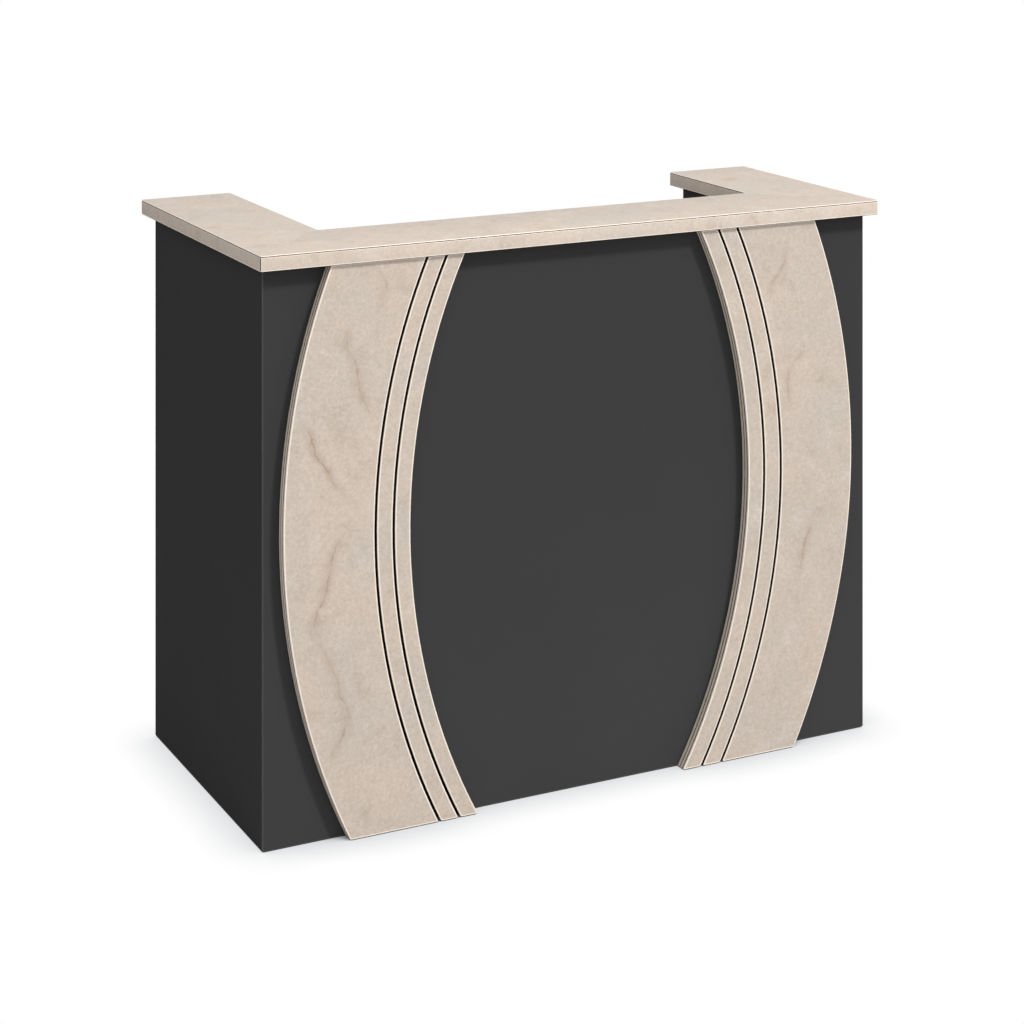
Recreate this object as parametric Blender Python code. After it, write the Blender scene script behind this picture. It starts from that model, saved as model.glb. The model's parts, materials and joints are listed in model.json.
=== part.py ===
"""Checkout counter: a U-plan shop counter with two bowed facings on its customer side, and a
work surface, a lockable cash drawer, a cupboard and open shelves on its staff side.

Metres, +Z up. The customer stands at -Y and the staff at +Y, and +X is the customer's right.
The origin is on the floor, under the centre of the bounding box.
"""

import math
from typing import NamedTuple

import bmesh
import bpy
from mathutils import Vector

# ------------------------------------------------------------------ driving dimensions
TOP_WIDTH = 1.300  # across the U, from side to side
TOP_DEPTH = 0.665  # from the front edge to the end of the left arm
HEIGHT = 1.050
TOP_THICKNESS = 0.028
ARM_WIDTH = 0.186  # of both arms of the U
FRONT_LEDGE = 0.195  # depth of the top along the front
RIGHT_ARM_SETBACK = 0.166  # the right arm ends this far short of the left one
TOP_CORNER_RADIUS = 0.005
EDGE_STRIP = 0.0015  # thickness of the strip round the top's edge
FACE_SHEET = 0.0018  # the top's facing sheet, which laps over the edge strip

SIDE_OVERHANG = 0.015  # of the top, past the body
FRONT_OVERHANG = 0.032
INNER_OVERHANG = 0.017
LEFT_BACK_OVERHANG = 0.043
RIGHT_BACK_OVERHANG = 0.029

BOARD = 0.018  # the body's panels
GAP = 0.0003  # between neighbouring pieces
FLOOR_GAP = 0.0015  # the feet hold the panels this far off the floor
BASE_HEIGHT = 0.030  # underside of the base panels

# The facings: a wide band and two narrow strips on a backing, all cut to circles.
FACING_THICKNESS = 0.024
BACKING_THICKNESS = 0.008
GROOVE = 0.005


class Bow(NamedTuple):
    """One facing. An inset is from the body's side to an edge, at the widest part of its bow."""

    side: int  # -1 on the left and +1 on the right
    outer_inset: float
    outer_radius: float
    outer_centre: float  # height of the circle's centre
    inner_inset: float
    inner_radius: float
    inner_centre: float
    strip_width: float


# They are near mirror images, but the right one is narrower and its strips are a little wider.
LEFT_BOW = Bow(-1, 0.0306, 1.260, 0.552, 0.2734, 1.1355, 0.537, 0.030)
RIGHT_BOW = Bow(1, 0.0446, 1.248, 0.565, 0.2828, 1.0985, 0.549, 0.033)
BOW_STEPS = 32
END_ROUNDING = 0.003  # at the corners of a facing board's ends

# Staff side. Heights are above the floor, depths are from the body's front face.
WORK_HEIGHT = 0.900
WORK_THICKNESS = 0.025
CABINET_DEPTH = 0.412  # carcass behind the drawer and door fronts
DECK_TOP = 0.730  # panel between the drawer and the cupboard
OPEN_SHELF_TOP = 0.458
OPEN_SHELF_DEPTH = 0.400
FRONTS_BOTTOM = 0.032
FRONT_REVEAL = 0.003  # between fronts, and between a front and its neighbour

# Cupboard shelf on four pins.
SHELF_REST = 0.380  # top of the pins
SHELF_CLEARANCE = 0.001
SHELF_DEPTHS = (0.030, 0.395)
PIN_RADIUS = 0.0025
PIN_BURIED = 0.008
PIN_PROUD = 0.008
PIN_DEPTHS = (0.080, 0.345)
PIN_HOLE_PITCH = 0.064
PIN_HOLE_STEPS = (-2, -1, 0, 1, 2)

# Drawer and its runners.
DRAWER_LENGTH = 0.350
DRAWER_SIDE = 0.012
DRAWER_HEIGHTS = (0.742, 0.842)
DRAWER_BOTTOM_HEIGHT = 0.7503
DRAWER_BOTTOM = 0.005
DRAWER_GROOVE_DEPTH = 0.006
RUNNER_WIDTH = 0.0127
RUNNER_HEIGHT = 0.045
RUNNER_GAUGE = 0.0012
RUNNER_STEP = 0.003  # each member is this much smaller than the one round it, top and bottom
RUNNER_CENTRE = 0.780

# Lock in the drawer front.
LOCK_HEIGHT = 0.850
LOCK_BODY_RADIUS = 0.0092
LOCK_FLANGE_RADIUS = 0.0115
LOCK_FLANGE = 0.0015
LOCK_PLUG_RADIUS = 0.0063
LOCK_LENGTH = 0.030
CAM_LENGTH = 0.024
CAM_WIDTH = 0.014
CAM_THICKNESS = 0.002
KEYWAY = (0.0014, 0.0065, 0.003)  # width, height, depth
KEEPER_WIDTH = 0.040
KEEPER_DROP = 0.0145
KEEPER_GAUGE = 0.002

# Handles, hinges and catch.
HANDLE_SPAN = 0.128
HANDLE_REACH = 0.030
HANDLE_BEND = 0.010
HANDLE_RADIUS = 0.005
DRAWER_HANDLE_HEIGHT = 0.795
DOOR_HANDLE_HEIGHT = 0.600
DOOR_HANDLE_INSET = 0.040
HINGE_HEIGHT = 0.060
HINGE_INSET = 0.100  # hinge's middle to the door's end
LEAF_GAUGE = 0.001
LEAF_DEPTH = 0.0252
KNUCKLE_RADIUS = 0.0032
KNUCKLE_BORE = 0.0016
HINGE_PIN_RADIUS = 0.0014
CATCH_WIDTH = 0.040
CATCH_INSET = 0.030
CATCH_DEPTH = 0.014
CATCH_HEIGHT = 0.012
STRIKE_GAUGE = 0.0012

# Cable grommet in the work surface.
GROMMET_X = -0.250
GROMMET_DEPTH = 0.220
GROMMET_HOLE_RADIUS = 0.030
CABLE_SLOT = (0.012, 0.014)  # width, and depth from the rim

# Levelling feet.
FOOT_PAD_RADIUS = 0.020
FOOT_PAD = 0.008
FOOT_STEM_RADIUS = 0.005
FOOT_STEM_TOP = 0.070
FOOT_HOLE_RADIUS = 0.0055
FOOT_INSET = 0.075  # from the body's front or back face

# ------------------------------------------------------------------ derived positions
TOP_UNDERSIDE = HEIGHT - TOP_THICKNESS
PANEL_TOP = TOP_UNDERSIDE - GAP
HALF_TOP = TOP_WIDTH / 2
HALF_BODY = HALF_TOP - SIDE_OVERHANG
TOP_FRONT = -TOP_DEPTH / 2
TOP_LEFT_BACK = TOP_DEPTH / 2
TOP_RIGHT_BACK = TOP_LEFT_BACK - RIGHT_ARM_SETBACK
TOP_INNER_X = HALF_TOP - ARM_WIDTH
TOP_INNER_Y = TOP_FRONT + FRONT_LEDGE

FRONT = TOP_FRONT + FRONT_OVERHANG  # the body's front face
LEFT_BACK = TOP_LEFT_BACK - LEFT_BACK_OVERHANG
RIGHT_BACK = TOP_RIGHT_BACK - RIGHT_BACK_OVERHANG
WING_FACE = TOP_INNER_X + INNER_OVERHANG  # a wing's staff-side face, either side of X = 0
UPSTAND_FACE = TOP_INNER_Y - INNER_OVERHANG
INSIDE_FRONT = FRONT + BOARD + GAP  # just behind the front panel
CABINET_BACK = FRONT + CABINET_DEPTH  # plane that the drawer and door fronts close against
FRONTS_BACK = CABINET_BACK + BOARD  # their outer faces
CARCASS_EDGE = CABINET_BACK - GAP
WORK_UNDERSIDE = WORK_HEIGHT - WORK_THICKNESS
BASE_TOP = BASE_HEIGHT + BOARD
HALF_DIVIDER = BOARD / 2
DECK_UNDERSIDE = DECK_TOP - BOARD
DRAWER_FRONT_BOTTOM = DECK_TOP - BOARD / 2
DOOR_TOP = DRAWER_FRONT_BOTTOM - FRONT_REVEAL
FRONTS_X = (-HALF_DIVIDER, WING_FACE - FRONT_REVEAL)
MIDDLE_OF_FRONTS = sum(FRONTS_X) / 2

# ------------------------------------------------------------------ finishes
CHARCOAL = {"colour": (0.052, 0.052, 0.054, 1), "roughness": 0.55, "metallic": 0.0}
CHARCOAL_SIDE = {"colour": (0.045, 0.045, 0.047, 1), "roughness": 0.55, "metallic": 0.0}
STONE = {"colour": (0.66, 0.57, 0.49, 1), "roughness": 0.42, "metallic": 0.0}
STONE_EDGE = {"colour": (0.60, 0.51, 0.43, 1), "roughness": 0.45, "metallic": 0.0}
DRAWER_WHITE = {"colour": (0.55, 0.55, 0.54, 1), "roughness": 0.6, "metallic": 0.0}
ZINC = {"colour": (0.56, 0.57, 0.58, 1), "roughness": 0.35, "metallic": 1.0}
NICKEL = {"colour": (0.62, 0.60, 0.57, 1), "roughness": 0.28, "metallic": 1.0}
BLACK_PLASTIC = {"colour": (0.02, 0.02, 0.02, 1), "roughness": 0.5, "metallic": 0.0}


# ------------------------------------------------------------------ tools
def clear_scene():
    for obj in list(bpy.data.objects):
        bpy.data.objects.remove(obj, do_unlink=True)


def make_material(name, finish):
    material = bpy.data.materials.new(name)
    material.use_nodes = True
    shader = material.node_tree.nodes["Principled BSDF"]
    shader.inputs["Base Color"].default_value = finish["colour"]
    shader.inputs["Roughness"].default_value = finish["roughness"]
    shader.inputs["Metallic"].default_value = finish["metallic"]
    return material


def add_object(name, form, place, finish, parent=None, smooth=False):
    """Turns a bmesh into a named object at a place in the world, and frees the bmesh."""
    bmesh.ops.recalc_face_normals(form, faces=form.faces)
    mesh = bpy.data.meshes.new(name)
    form.to_mesh(mesh)
    form.free()
    if smooth:
        mesh.shade_smooth()
        mesh.set_sharp_from_angle(angle=math.radians(35))
    obj = bpy.data.objects.new(name, mesh)
    bpy.context.scene.collection.objects.link(obj)
    obj.location = Vector(place)
    if parent:
        obj.parent = parent
        obj.location -= parent.location
    if finish:
        mesh.materials.append(make_material(name, finish))
    return obj


def group(name, place):
    """An empty that a moving assembly hangs from, on the axis of its joint."""
    empty = bpy.data.objects.new(name, None)
    empty.location = Vector(place)
    bpy.context.scene.collection.objects.link(empty)
    return empty


def add_box(form, size, centre=(0, 0, 0)):
    """Adds a block to a bmesh."""
    block = bmesh.ops.create_cube(form, size=1.0)["verts"]
    bmesh.ops.scale(form, vec=size, verts=block)
    bmesh.ops.translate(form, vec=centre, verts=block)


def lofted(name, loops, finish, ring=False):
    """A solid skinned over outlines with equal point counts. It has end caps, or if ring is
    set, its last outline joins its first."""
    form = bmesh.new()
    rows = [[form.verts.new(point) for point in loop] for loop in loops]
    pairs = list(zip(rows, rows[1:]))
    if ring:
        pairs.append((rows[-1], rows[0]))
    else:
        form.faces.new(rows[0])
        form.faces.new(rows[-1])
    count = len(rows[0])
    for a, b in pairs:
        for i in range(count):
            j = (i + 1) % count
            form.faces.new((a[i], a[j], b[j], b[i]))
    return add_object(name, form, (0, 0, 0), finish)


def panel(name, x, y, z, finish, parent=None):
    """A flat board or block between three pairs of limits."""
    limits = [(min(pair), max(pair)) for pair in (x, y, z)]
    form = bmesh.new()
    add_box(form, [high - low for low, high in limits])
    centre = [(low + high) / 2 for low, high in limits]
    return add_object(name, form, centre, finish, parent)


def prism(name, outline, low, high, axis, finish, place=(0, 0, 0), parent=None):
    """Extrudes a closed outline along an axis. The outline is drawn in the other two axes."""
    order = {"X": (2, 0, 1), "Y": (0, 2, 1), "Z": (0, 1, 2)}[axis]
    form = bmesh.new()
    ends = []
    for level in (low, high):
        points = [(u, v, level) for u, v in outline]
        ends.append([form.verts.new([p[i] for i in order]) for p in points])
    form.faces.new(ends[0])
    form.faces.new(ends[1])
    count = len(outline)
    for i in range(count):
        j = (i + 1) % count
        form.faces.new((ends[0][i], ends[0][j], ends[1][j], ends[1][i]))
    return add_object(name, form, place, finish, parent)


def turned(name, profile, segments, finish, place, parent=None, along_y=False):
    """Turns a profile of (radius, height) points about Z, or about Y if along_y. The profile
    runs from the axis to the axis, or else closes on itself as a ring."""
    form = bmesh.new()
    rings = []
    for radius, height in profile:
        count = segments if radius > 0 else 1
        steps = [2 * math.pi * i / segments for i in range(count)]
        points = [(radius * math.cos(a), radius * math.sin(a), height) for a in steps]
        rings.append([form.verts.new(p) for p in points])
    pairs = list(zip(rings, rings[1:]))
    if profile[0][0] > 0:
        pairs.append((rings[-1], rings[0]))
    for lower, upper in pairs:
        for i in range(segments):
            j = (i + 1) % segments
            corners = [lower[i % len(lower)], lower[j % len(lower)]]
            corners += [upper[j % len(upper)], upper[i % len(upper)]]
            form.faces.new(list(dict.fromkeys(corners)))
    obj = add_object(name, form, place, finish, parent, smooth=True)
    if along_y:
        obj.rotation_euler.x = -math.pi / 2
    return obj


def combine(obj, tool, operation):
    """Cuts a tool object from obj, or joins it on, and keeps the tool out of the model."""
    boolean = obj.modifiers.new(tool.name, "BOOLEAN")
    boolean.operation = operation
    boolean.solver = "EXACT"
    boolean.object = tool
    tool.hide_render = True
    tool.display_type = "WIRE"


def cut(obj, tool):
    combine(obj, tool, "DIFFERENCE")


def join_on(obj, tool):
    combine(obj, tool, "UNION")


def cylinder_tool(name, radius, low, high, place, segments=48, along_y=False, parent=None):
    profile = [(0, low), (radius, low), (radius, high), (0, high)]
    return turned(name, profile, segments, None, place, parent, along_y)


# ------------------------------------------------------------------ the U-shaped top
def rounded_corner(corner, before, after, radius, steps=4):
    """Points of an arc that rounds one right-angled corner of an outline."""
    start = corner + (before - corner).normalized() * radius
    end = corner + (after - corner).normalized() * radius
    centre = start + end - corner
    points = []
    for step in range(steps + 1):
        turn = math.pi / 2 * step / steps
        points.append(centre + (start - centre) * math.cos(turn) + (end - centre) * math.sin(turn))
    return [tuple(p) for p in points]


def top_outline(inset):
    """The U seen from above, drawn inset from the finished edge, with its corners rounded."""
    left, right = -HALF_TOP + inset, HALF_TOP - inset
    inner = TOP_INNER_X + inset
    front, ledge = TOP_FRONT + inset, TOP_INNER_Y - inset
    left_back, right_back = TOP_LEFT_BACK - inset, TOP_RIGHT_BACK - inset
    outer_radius = TOP_CORNER_RADIUS - inset
    inner_radius = TOP_CORNER_RADIUS + inset
    corners = [
        (left, front, outer_radius),
        (right, front, outer_radius),
        (right, right_back, outer_radius),
        (inner, right_back, outer_radius),
        (inner, ledge, inner_radius),
        (-inner, ledge, inner_radius),
        (-inner, left_back, outer_radius),
        (left, left_back, outer_radius),
    ]
    places = [Vector(c[:2]) for c in corners]
    outline = []
    for i, (x, y, radius) in enumerate(corners):
        before, after = places[i - 1], places[(i + 1) % len(places)]
        outline += rounded_corner(Vector((x, y)), before, after, radius)
    return outline


def build_top():
    """The stone-look top: a core, with a facing sheet that laps over the strip on its edge."""

    def level(inset, height):
        return [(x, y, height) for x, y in top_outline(inset)]

    core = EDGE_STRIP + GAP
    lap = HEIGHT - FACE_SHEET
    stepped = (level(core, TOP_UNDERSIDE), level(core, lap), level(0, lap), level(0, HEIGHT))
    lofted("counter_top", stepped, STONE)

    strip_top = lap - GAP
    strip = (
        level(0, TOP_UNDERSIDE),
        level(0, strip_top),
        level(EDGE_STRIP, strip_top),
        level(EDGE_STRIP, TOP_UNDERSIDE),
    )
    lofted("top_edge_strip", strip, STONE_EDGE, ring=True)


# ------------------------------------------------------------------ the bowed facings
def bow_edge(side, inset, radius, centre_height):
    """Points up one circular edge; inset is the edge's distance from the body's side."""
    low = math.asin((FLOOR_GAP - centre_height) / radius)
    high = math.asin((PANEL_TOP - centre_height) / radius)
    points = []
    for step in range(BOW_STEPS + 1):
        angle = low + (high - low) * step / BOW_STEPS
        from_side = inset + radius * (1 - math.cos(angle))
        points.append((side * (HALF_BODY - from_side), centre_height + radius * math.sin(angle)))
    return points


def ease_corner(corner, before, after, steps=3):
    """Points of a curve that rounds one corner of an outline, whatever its angle."""
    corner, before, after = Vector(corner), Vector(before), Vector(after)
    start = corner + (before - corner).normalized() * END_ROUNDING
    end = corner + (after - corner).normalized() * END_ROUNDING
    points = []
    for step in range(steps + 1):
        t = step / steps
        points.append(start * (1 - t) ** 2 + corner * 2 * t * (1 - t) + end * t**2)
    return [tuple(p) for p in points]


def facing_outline(one_edge, other_edge):
    """A board between two bowed edges, with the two corners of its lower end rounded."""
    around = one_edge + other_edge[::-1]
    first = ease_corner(around[0], around[-1], around[1])
    last = ease_corner(around[-1], around[-2], around[0])
    return first + around[1:-1] + last


def build_facing(bow, hand):
    def inner_family(outward):
        """An edge that keeps one distance outwards from the inner edge."""
        inset, radius = bow.inner_inset - outward, bow.inner_radius + outward
        return bow_edge(bow.side, inset, radius, bow.inner_centre)

    outer_edge = bow_edge(bow.side, bow.outer_inset, bow.outer_radius, bow.outer_centre)
    inner_edge = inner_family(0)
    first = bow.strip_width
    second = first + GROOVE
    third = second + bow.strip_width
    fourth = third + GROOVE

    backing_front = FRONT - GAP - BACKING_THICKNESS
    boards = {
        "facing_backing": (outer_edge, inner_edge, FRONT - GAP, backing_front),
        "facing_band": (outer_edge, inner_family(fourth), None, None),
        "facing_outer_strip": (inner_family(third), inner_family(second), None, None),
        "facing_inner_strip": (inner_family(first), inner_edge, None, None),
    }
    for name, (one_edge, other_edge, back, front) in boards.items():
        back = back or backing_front - GAP
        front = front or FRONT - FACING_THICKNESS
        outline = facing_outline(one_edge, other_edge)
        prism(f"{hand}_{name}", outline, front, back, "Y", STONE)


# ------------------------------------------------------------------ body panels
def build_body():
    mitre = GAP / math.sqrt(2)
    standing = (FLOOR_GAP, PANEL_TOP)
    inside = HALF_BODY - BOARD
    front_outline = [
        (-HALF_BODY + mitre, FRONT),
        (HALF_BODY - mitre, FRONT),
        (inside - mitre, FRONT + BOARD),
        (-inside + mitre, FRONT + BOARD),
    ]
    prism("front_panel", front_outline, *standing, "Z", CHARCOAL)

    for side, hand, back in ((-1, "left", LEFT_BACK), (1, "right", RIGHT_BACK)):
        side_outline = [
            (side * HALF_BODY, FRONT + mitre),
            (side * HALF_BODY, back),
            (side * inside, back),
            (side * inside, FRONT + BOARD + mitre),
        ]
        prism(f"{hand}_side_panel", side_outline, *standing, "Z", CHARCOAL_SIDE)

        wing = (side * WING_FACE, side * (WING_FACE + BOARD))
        panel(f"{hand}_wing_inner_panel", wing, (INSIDE_FRONT, back), standing, CHARCOAL)

        hollow = (side * (WING_FACE + BOARD + GAP), side * (inside - GAP))
        panel(f"{hand}_wing_end_panel", hollow, (back - BOARD, back), standing, CHARCOAL)
        build_wing_base(side, hand, hollow, back)

    upstand_y = (UPSTAND_FACE - BOARD, UPSTAND_FACE)
    upstand_x = (-WING_FACE + GAP, WING_FACE - GAP)
    panel("upstand_panel", upstand_x, upstand_y, (WORK_HEIGHT + GAP, PANEL_TOP), CHARCOAL)


def build_wing_base(side, hand, hollow, back):
    """The panel in the foot of a wing, and the two levelling feet screwed through it."""
    depth = (INSIDE_FRONT, back - BOARD - GAP)
    base = panel(f"{hand}_wing_base", hollow, depth, (BASE_HEIGHT, BASE_TOP), CHARCOAL)
    middle = sum(hollow) / 2
    for end, y in (("front", FRONT + FOOT_INSET), ("back", back - FOOT_INSET)):
        hole_name = f"{hand}_{end}_foot_hole"
        low, high = BASE_HEIGHT - BOARD, BASE_TOP + BOARD
        hole = cylinder_tool(hole_name, FOOT_HOLE_RADIUS, low, high, (middle, y, 0), 24)
        cut(base, hole)
        profile = [
            (0, 0),
            (FOOT_PAD_RADIUS - 0.001, 0),
            (FOOT_PAD_RADIUS, 0.001),
            (FOOT_PAD_RADIUS, FOOT_PAD * 0.6),
            (FOOT_STEM_RADIUS * 1.6, FOOT_PAD),
            (FOOT_STEM_RADIUS, FOOT_PAD),
            (FOOT_STEM_RADIUS, FOOT_STEM_TOP),
            (0, FOOT_STEM_TOP),
        ]
        turned(f"{hand}_{end}_foot", profile, 24, BLACK_PLASTIC, (middle, y, 0))


# ------------------------------------------------------------------ staff-side carcass
def build_carcass():
    full = (-WING_FACE + GAP, WING_FACE - GAP)
    depth = (INSIDE_FRONT, CARCASS_EDGE)
    work_depth = (INSIDE_FRONT, RIGHT_BACK)
    work_heights = (WORK_UNDERSIDE, WORK_HEIGHT)
    work = panel("work_surface", full, work_depth, work_heights, STONE)
    grommet = (GROMMET_X, FRONT + GROMMET_DEPTH, WORK_HEIGHT)
    hole = cylinder_tool("grommet_hole", GROMMET_HOLE_RADIUS, -0.05, 0.05, grommet)
    cut(work, hole)

    panel("base_panel", full, depth, (BASE_HEIGHT, BASE_TOP), CHARCOAL)
    divider_x = (-HALF_DIVIDER, HALF_DIVIDER)
    divider_z = (BASE_TOP + GAP, WORK_UNDERSIDE - GAP)
    panel("centre_divider", divider_x, depth, divider_z, CHARCOAL)
    right_bay = (HALF_DIVIDER + GAP, WING_FACE - GAP)
    panel("drawer_deck", right_bay, depth, (DECK_UNDERSIDE, DECK_TOP), CHARCOAL)
    left_bay = (-WING_FACE + GAP, -HALF_DIVIDER - GAP)
    shelf_depth = (INSIDE_FRONT, FRONT + OPEN_SHELF_DEPTH)
    shelf_heights = (OPEN_SHELF_TOP - BOARD, OPEN_SHELF_TOP)
    panel("open_bay_shelf", left_bay, shelf_depth, shelf_heights, CHARCOAL)


def build_cupboard_shelf():
    """The loose shelf, its four pins, and the rows of holes that let it be moved."""
    width = (HALF_DIVIDER + SHELF_CLEARANCE, WING_FACE - SHELF_CLEARANCE)
    depth = [FRONT + d for d in SHELF_DEPTHS]
    heights = (SHELF_REST + GAP, SHELF_REST + GAP + BOARD)
    panel("cupboard_shelf", width, depth, heights, CHARCOAL)

    pin_height = SHELF_REST - PIN_RADIUS
    faces = (
        ("left", HALF_DIVIDER, 1, bpy.data.objects["centre_divider"]),
        ("right", WING_FACE, -1, bpy.data.objects["right_wing_inner_panel"]),
    )
    for hand, face, inward, board in faces:
        holes = bmesh.new()
        for pin_depth in PIN_DEPTHS:
            for step in PIN_HOLE_STEPS:
                centre = (0, FRONT + pin_depth, pin_height + step * PIN_HOLE_PITCH)
                add_cross_cylinder(holes, PIN_RADIUS + GAP, 2 * (PIN_BURIED + GAP), centre)
        tool = add_object(f"{hand}_pin_holes", holes, (face, 0, 0), None)
        cut(board, tool)
        for end, pin_depth in zip(("front", "back"), PIN_DEPTHS):
            form = bmesh.new()
            middle = inward * (PIN_PROUD - PIN_BURIED) / 2
            add_cross_cylinder(form, PIN_RADIUS, PIN_BURIED + PIN_PROUD, (middle, 0, 0))
            place = (face, FRONT + pin_depth, pin_height)
            add_object(f"{hand}_{end}_shelf_pin", form, place, NICKEL, smooth=True)


def add_cross_cylinder(form, radius, length, centre, segments=16):
    """Adds a cylinder lying along X to a bmesh."""
    made = bmesh.ops.create_cone(
        form,
        cap_ends=True,
        segments=segments,
        radius1=radius,
        radius2=radius,
        depth=length,
    )["verts"]
    for vert in made:
        x, y, z = vert.co
        vert.co = Vector((z, y, -x)) + Vector(centre)


# ------------------------------------------------------------------ drawer
def channel(web, tip, half_height):
    """Outline of a pressed C-channel: its web stands at web, and its flanges reach tip."""
    inner_web = web + math.copysign(RUNNER_GAUGE, tip - web)
    low, high = RUNNER_CENTRE - half_height, RUNNER_CENTRE + half_height
    return [
        (web, low),
        (tip, low),
        (tip, low + RUNNER_GAUGE),
        (inner_web, low + RUNNER_GAUGE),
        (inner_web, high - RUNNER_GAUGE),
        (tip, high - RUNNER_GAUGE),
        (tip, high),
        (web, high),
    ]


def build_drawer():
    drawer = group("drawer_assembly", (MIDDLE_OF_FRONTS, FRONTS_BACK, RUNNER_CENTRE))
    front_heights = (DRAWER_FRONT_BOTTOM, WORK_UNDERSIDE - FRONT_REVEAL)
    front_depth = (CABINET_BACK, FRONTS_BACK)
    front = panel("drawer_front", FRONTS_X, front_depth, front_heights, CHARCOAL, drawer)

    depth = (CARCASS_EDGE - DRAWER_LENGTH, CARCASS_EDGE)
    low, high = DRAWER_HEIGHTS
    groove_low = DRAWER_BOTTOM_HEIGHT - GAP
    groove_high = DRAWER_BOTTOM_HEIGHT + DRAWER_BOTTOM + GAP
    side_faces = []
    for hand, wall, inward in (("left", HALF_DIVIDER, 1), ("right", WING_FACE, -1)):
        outer = wall + inward * RUNNER_WIDTH
        inner = outer + inward * DRAWER_SIDE
        groove = inner - inward * DRAWER_GROOVE_DEPTH
        side_outline = [
            (outer, low),
            (inner, low),
            (inner, groove_low),
            (groove, groove_low),
            (groove, groove_high),
            (inner, groove_high),
            (inner, high),
            (outer, high),
        ]
        place = drawer.location
        outline = [(x - place.x, z - place.z) for x, z in side_outline]
        ends = [y - place.y for y in depth]
        prism(f"drawer_{hand}_side", outline, *ends, "Y", DRAWER_WHITE, place, drawer)
        side_faces.append(inner)
        build_runner(hand, wall, inward, depth, drawer)

    left_face, right_face = side_faces
    between = (left_face + GAP, right_face - GAP)
    back_depth = (depth[0], depth[0] + DRAWER_SIDE)
    panel("drawer_back", between, back_depth, (groove_high, high), DRAWER_WHITE, drawer)
    reach = DRAWER_GROOVE_DEPTH - GAP
    bottom_x = (left_face - reach, right_face + reach)
    bottom_z = (DRAWER_BOTTOM_HEIGHT, DRAWER_BOTTOM_HEIGHT + DRAWER_BOTTOM)
    panel("drawer_bottom", bottom_x, depth, bottom_z, DRAWER_WHITE, drawer)

    grip = (MIDDLE_OF_FRONTS, FRONTS_BACK + GAP, DRAWER_HANDLE_HEIGHT)
    bow_handle("drawer_handle", grip, drawer, upright=False)
    build_lock(front, drawer)


def build_runner(hand, wall, inward, depth, drawer):
    """One ball-bearing runner of three nested channels: cabinet, middle and drawer member."""
    half = RUNNER_HEIGHT / 2
    members = (
        ("cabinet_member", GAP, 0.0110, half, None),
        ("middle_member", 0.0025, 0.0100, half - RUNNER_STEP, None),
        ("drawer_member", RUNNER_WIDTH - GAP, 0.0050, half - 2 * RUNNER_STEP, drawer),
    )
    for name, web, tip, half_height, parent in members:
        outline = channel(wall + inward * web, wall + inward * tip, half_height)
        place = parent.location if parent else Vector((0, 0, 0))
        outline = [(x - place.x, z - place.z) for x, z in outline]
        ends = [y - place.y for y in depth]
        full_name = f"{hand}_runner_{name}"
        prism(full_name, outline, *ends, "Y", ZINC, place, parent)


def build_lock(front, drawer):
    """A cam lock through the drawer front, and the keeper it turns up behind."""
    axis = (MIDDLE_OF_FRONTS, FRONTS_BACK + GAP, LOCK_HEIGHT)
    hole = cylinder_tool(
        "lock_hole", LOCK_BODY_RADIUS + GAP, -0.05, 0.05, axis, 32, along_y=True, parent=drawer
    )
    cut(front, hole)

    bore = LOCK_PLUG_RADIUS + GAP
    barrel = [
        (bore, -LOCK_LENGTH),
        (LOCK_BODY_RADIUS, -LOCK_LENGTH),
        (LOCK_BODY_RADIUS, 0),
        (LOCK_FLANGE_RADIUS, 0),
        (LOCK_FLANGE_RADIUS, LOCK_FLANGE - 0.0005),
        (LOCK_FLANGE_RADIUS - 0.0008, LOCK_FLANGE),
        (bore, LOCK_FLANGE),
    ]
    turned("lock_barrel", barrel, 32, NICKEL, axis, drawer, along_y=True)

    cam_front = -LOCK_LENGTH - GAP
    plug = [
        (0, cam_front - CAM_THICKNESS),
        (LOCK_PLUG_RADIUS, cam_front - CAM_THICKNESS),
        (LOCK_PLUG_RADIUS, LOCK_FLANGE),
        (0, LOCK_FLANGE),
    ]
    cam = turned("lock_cam", plug, 32, NICKEL, axis, drawer, along_y=True)
    plate = bmesh.new()
    plate_middle = (CAM_LENGTH / 2, cam_front - CAM_THICKNESS / 2, 0)
    add_box(plate, (CAM_LENGTH, CAM_THICKNESS, CAM_WIDTH), plate_middle)
    join_on(cam, add_object("cam_plate", plate, axis, None, drawer))
    width, height, deep = KEYWAY
    slot = bmesh.new()
    add_box(slot, (height, 2 * deep, width), (0, LOCK_FLANGE, 0))
    cut(cam, add_object("keyway", slot, axis, None, drawer))

    behind = FRONTS_BACK + cam_front + GAP + GAP
    keeper = [
        (behind, WORK_UNDERSIDE - GAP),
        (behind, WORK_UNDERSIDE - GAP - KEEPER_DROP),
        (behind + KEEPER_GAUGE, WORK_UNDERSIDE - GAP - KEEPER_DROP),
        (behind + KEEPER_GAUGE, WORK_UNDERSIDE - GAP - KEEPER_GAUGE),
        (CARCASS_EDGE - GAP, WORK_UNDERSIDE - GAP - KEEPER_GAUGE),
        (CARCASS_EDGE - GAP, WORK_UNDERSIDE - GAP),
    ]
    middle = MIDDLE_OF_FRONTS
    ends = (middle - KEEPER_WIDTH / 2, middle + KEEPER_WIDTH / 2)
    prism("lock_keeper", keeper, *ends, "X", ZINC)


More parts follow.
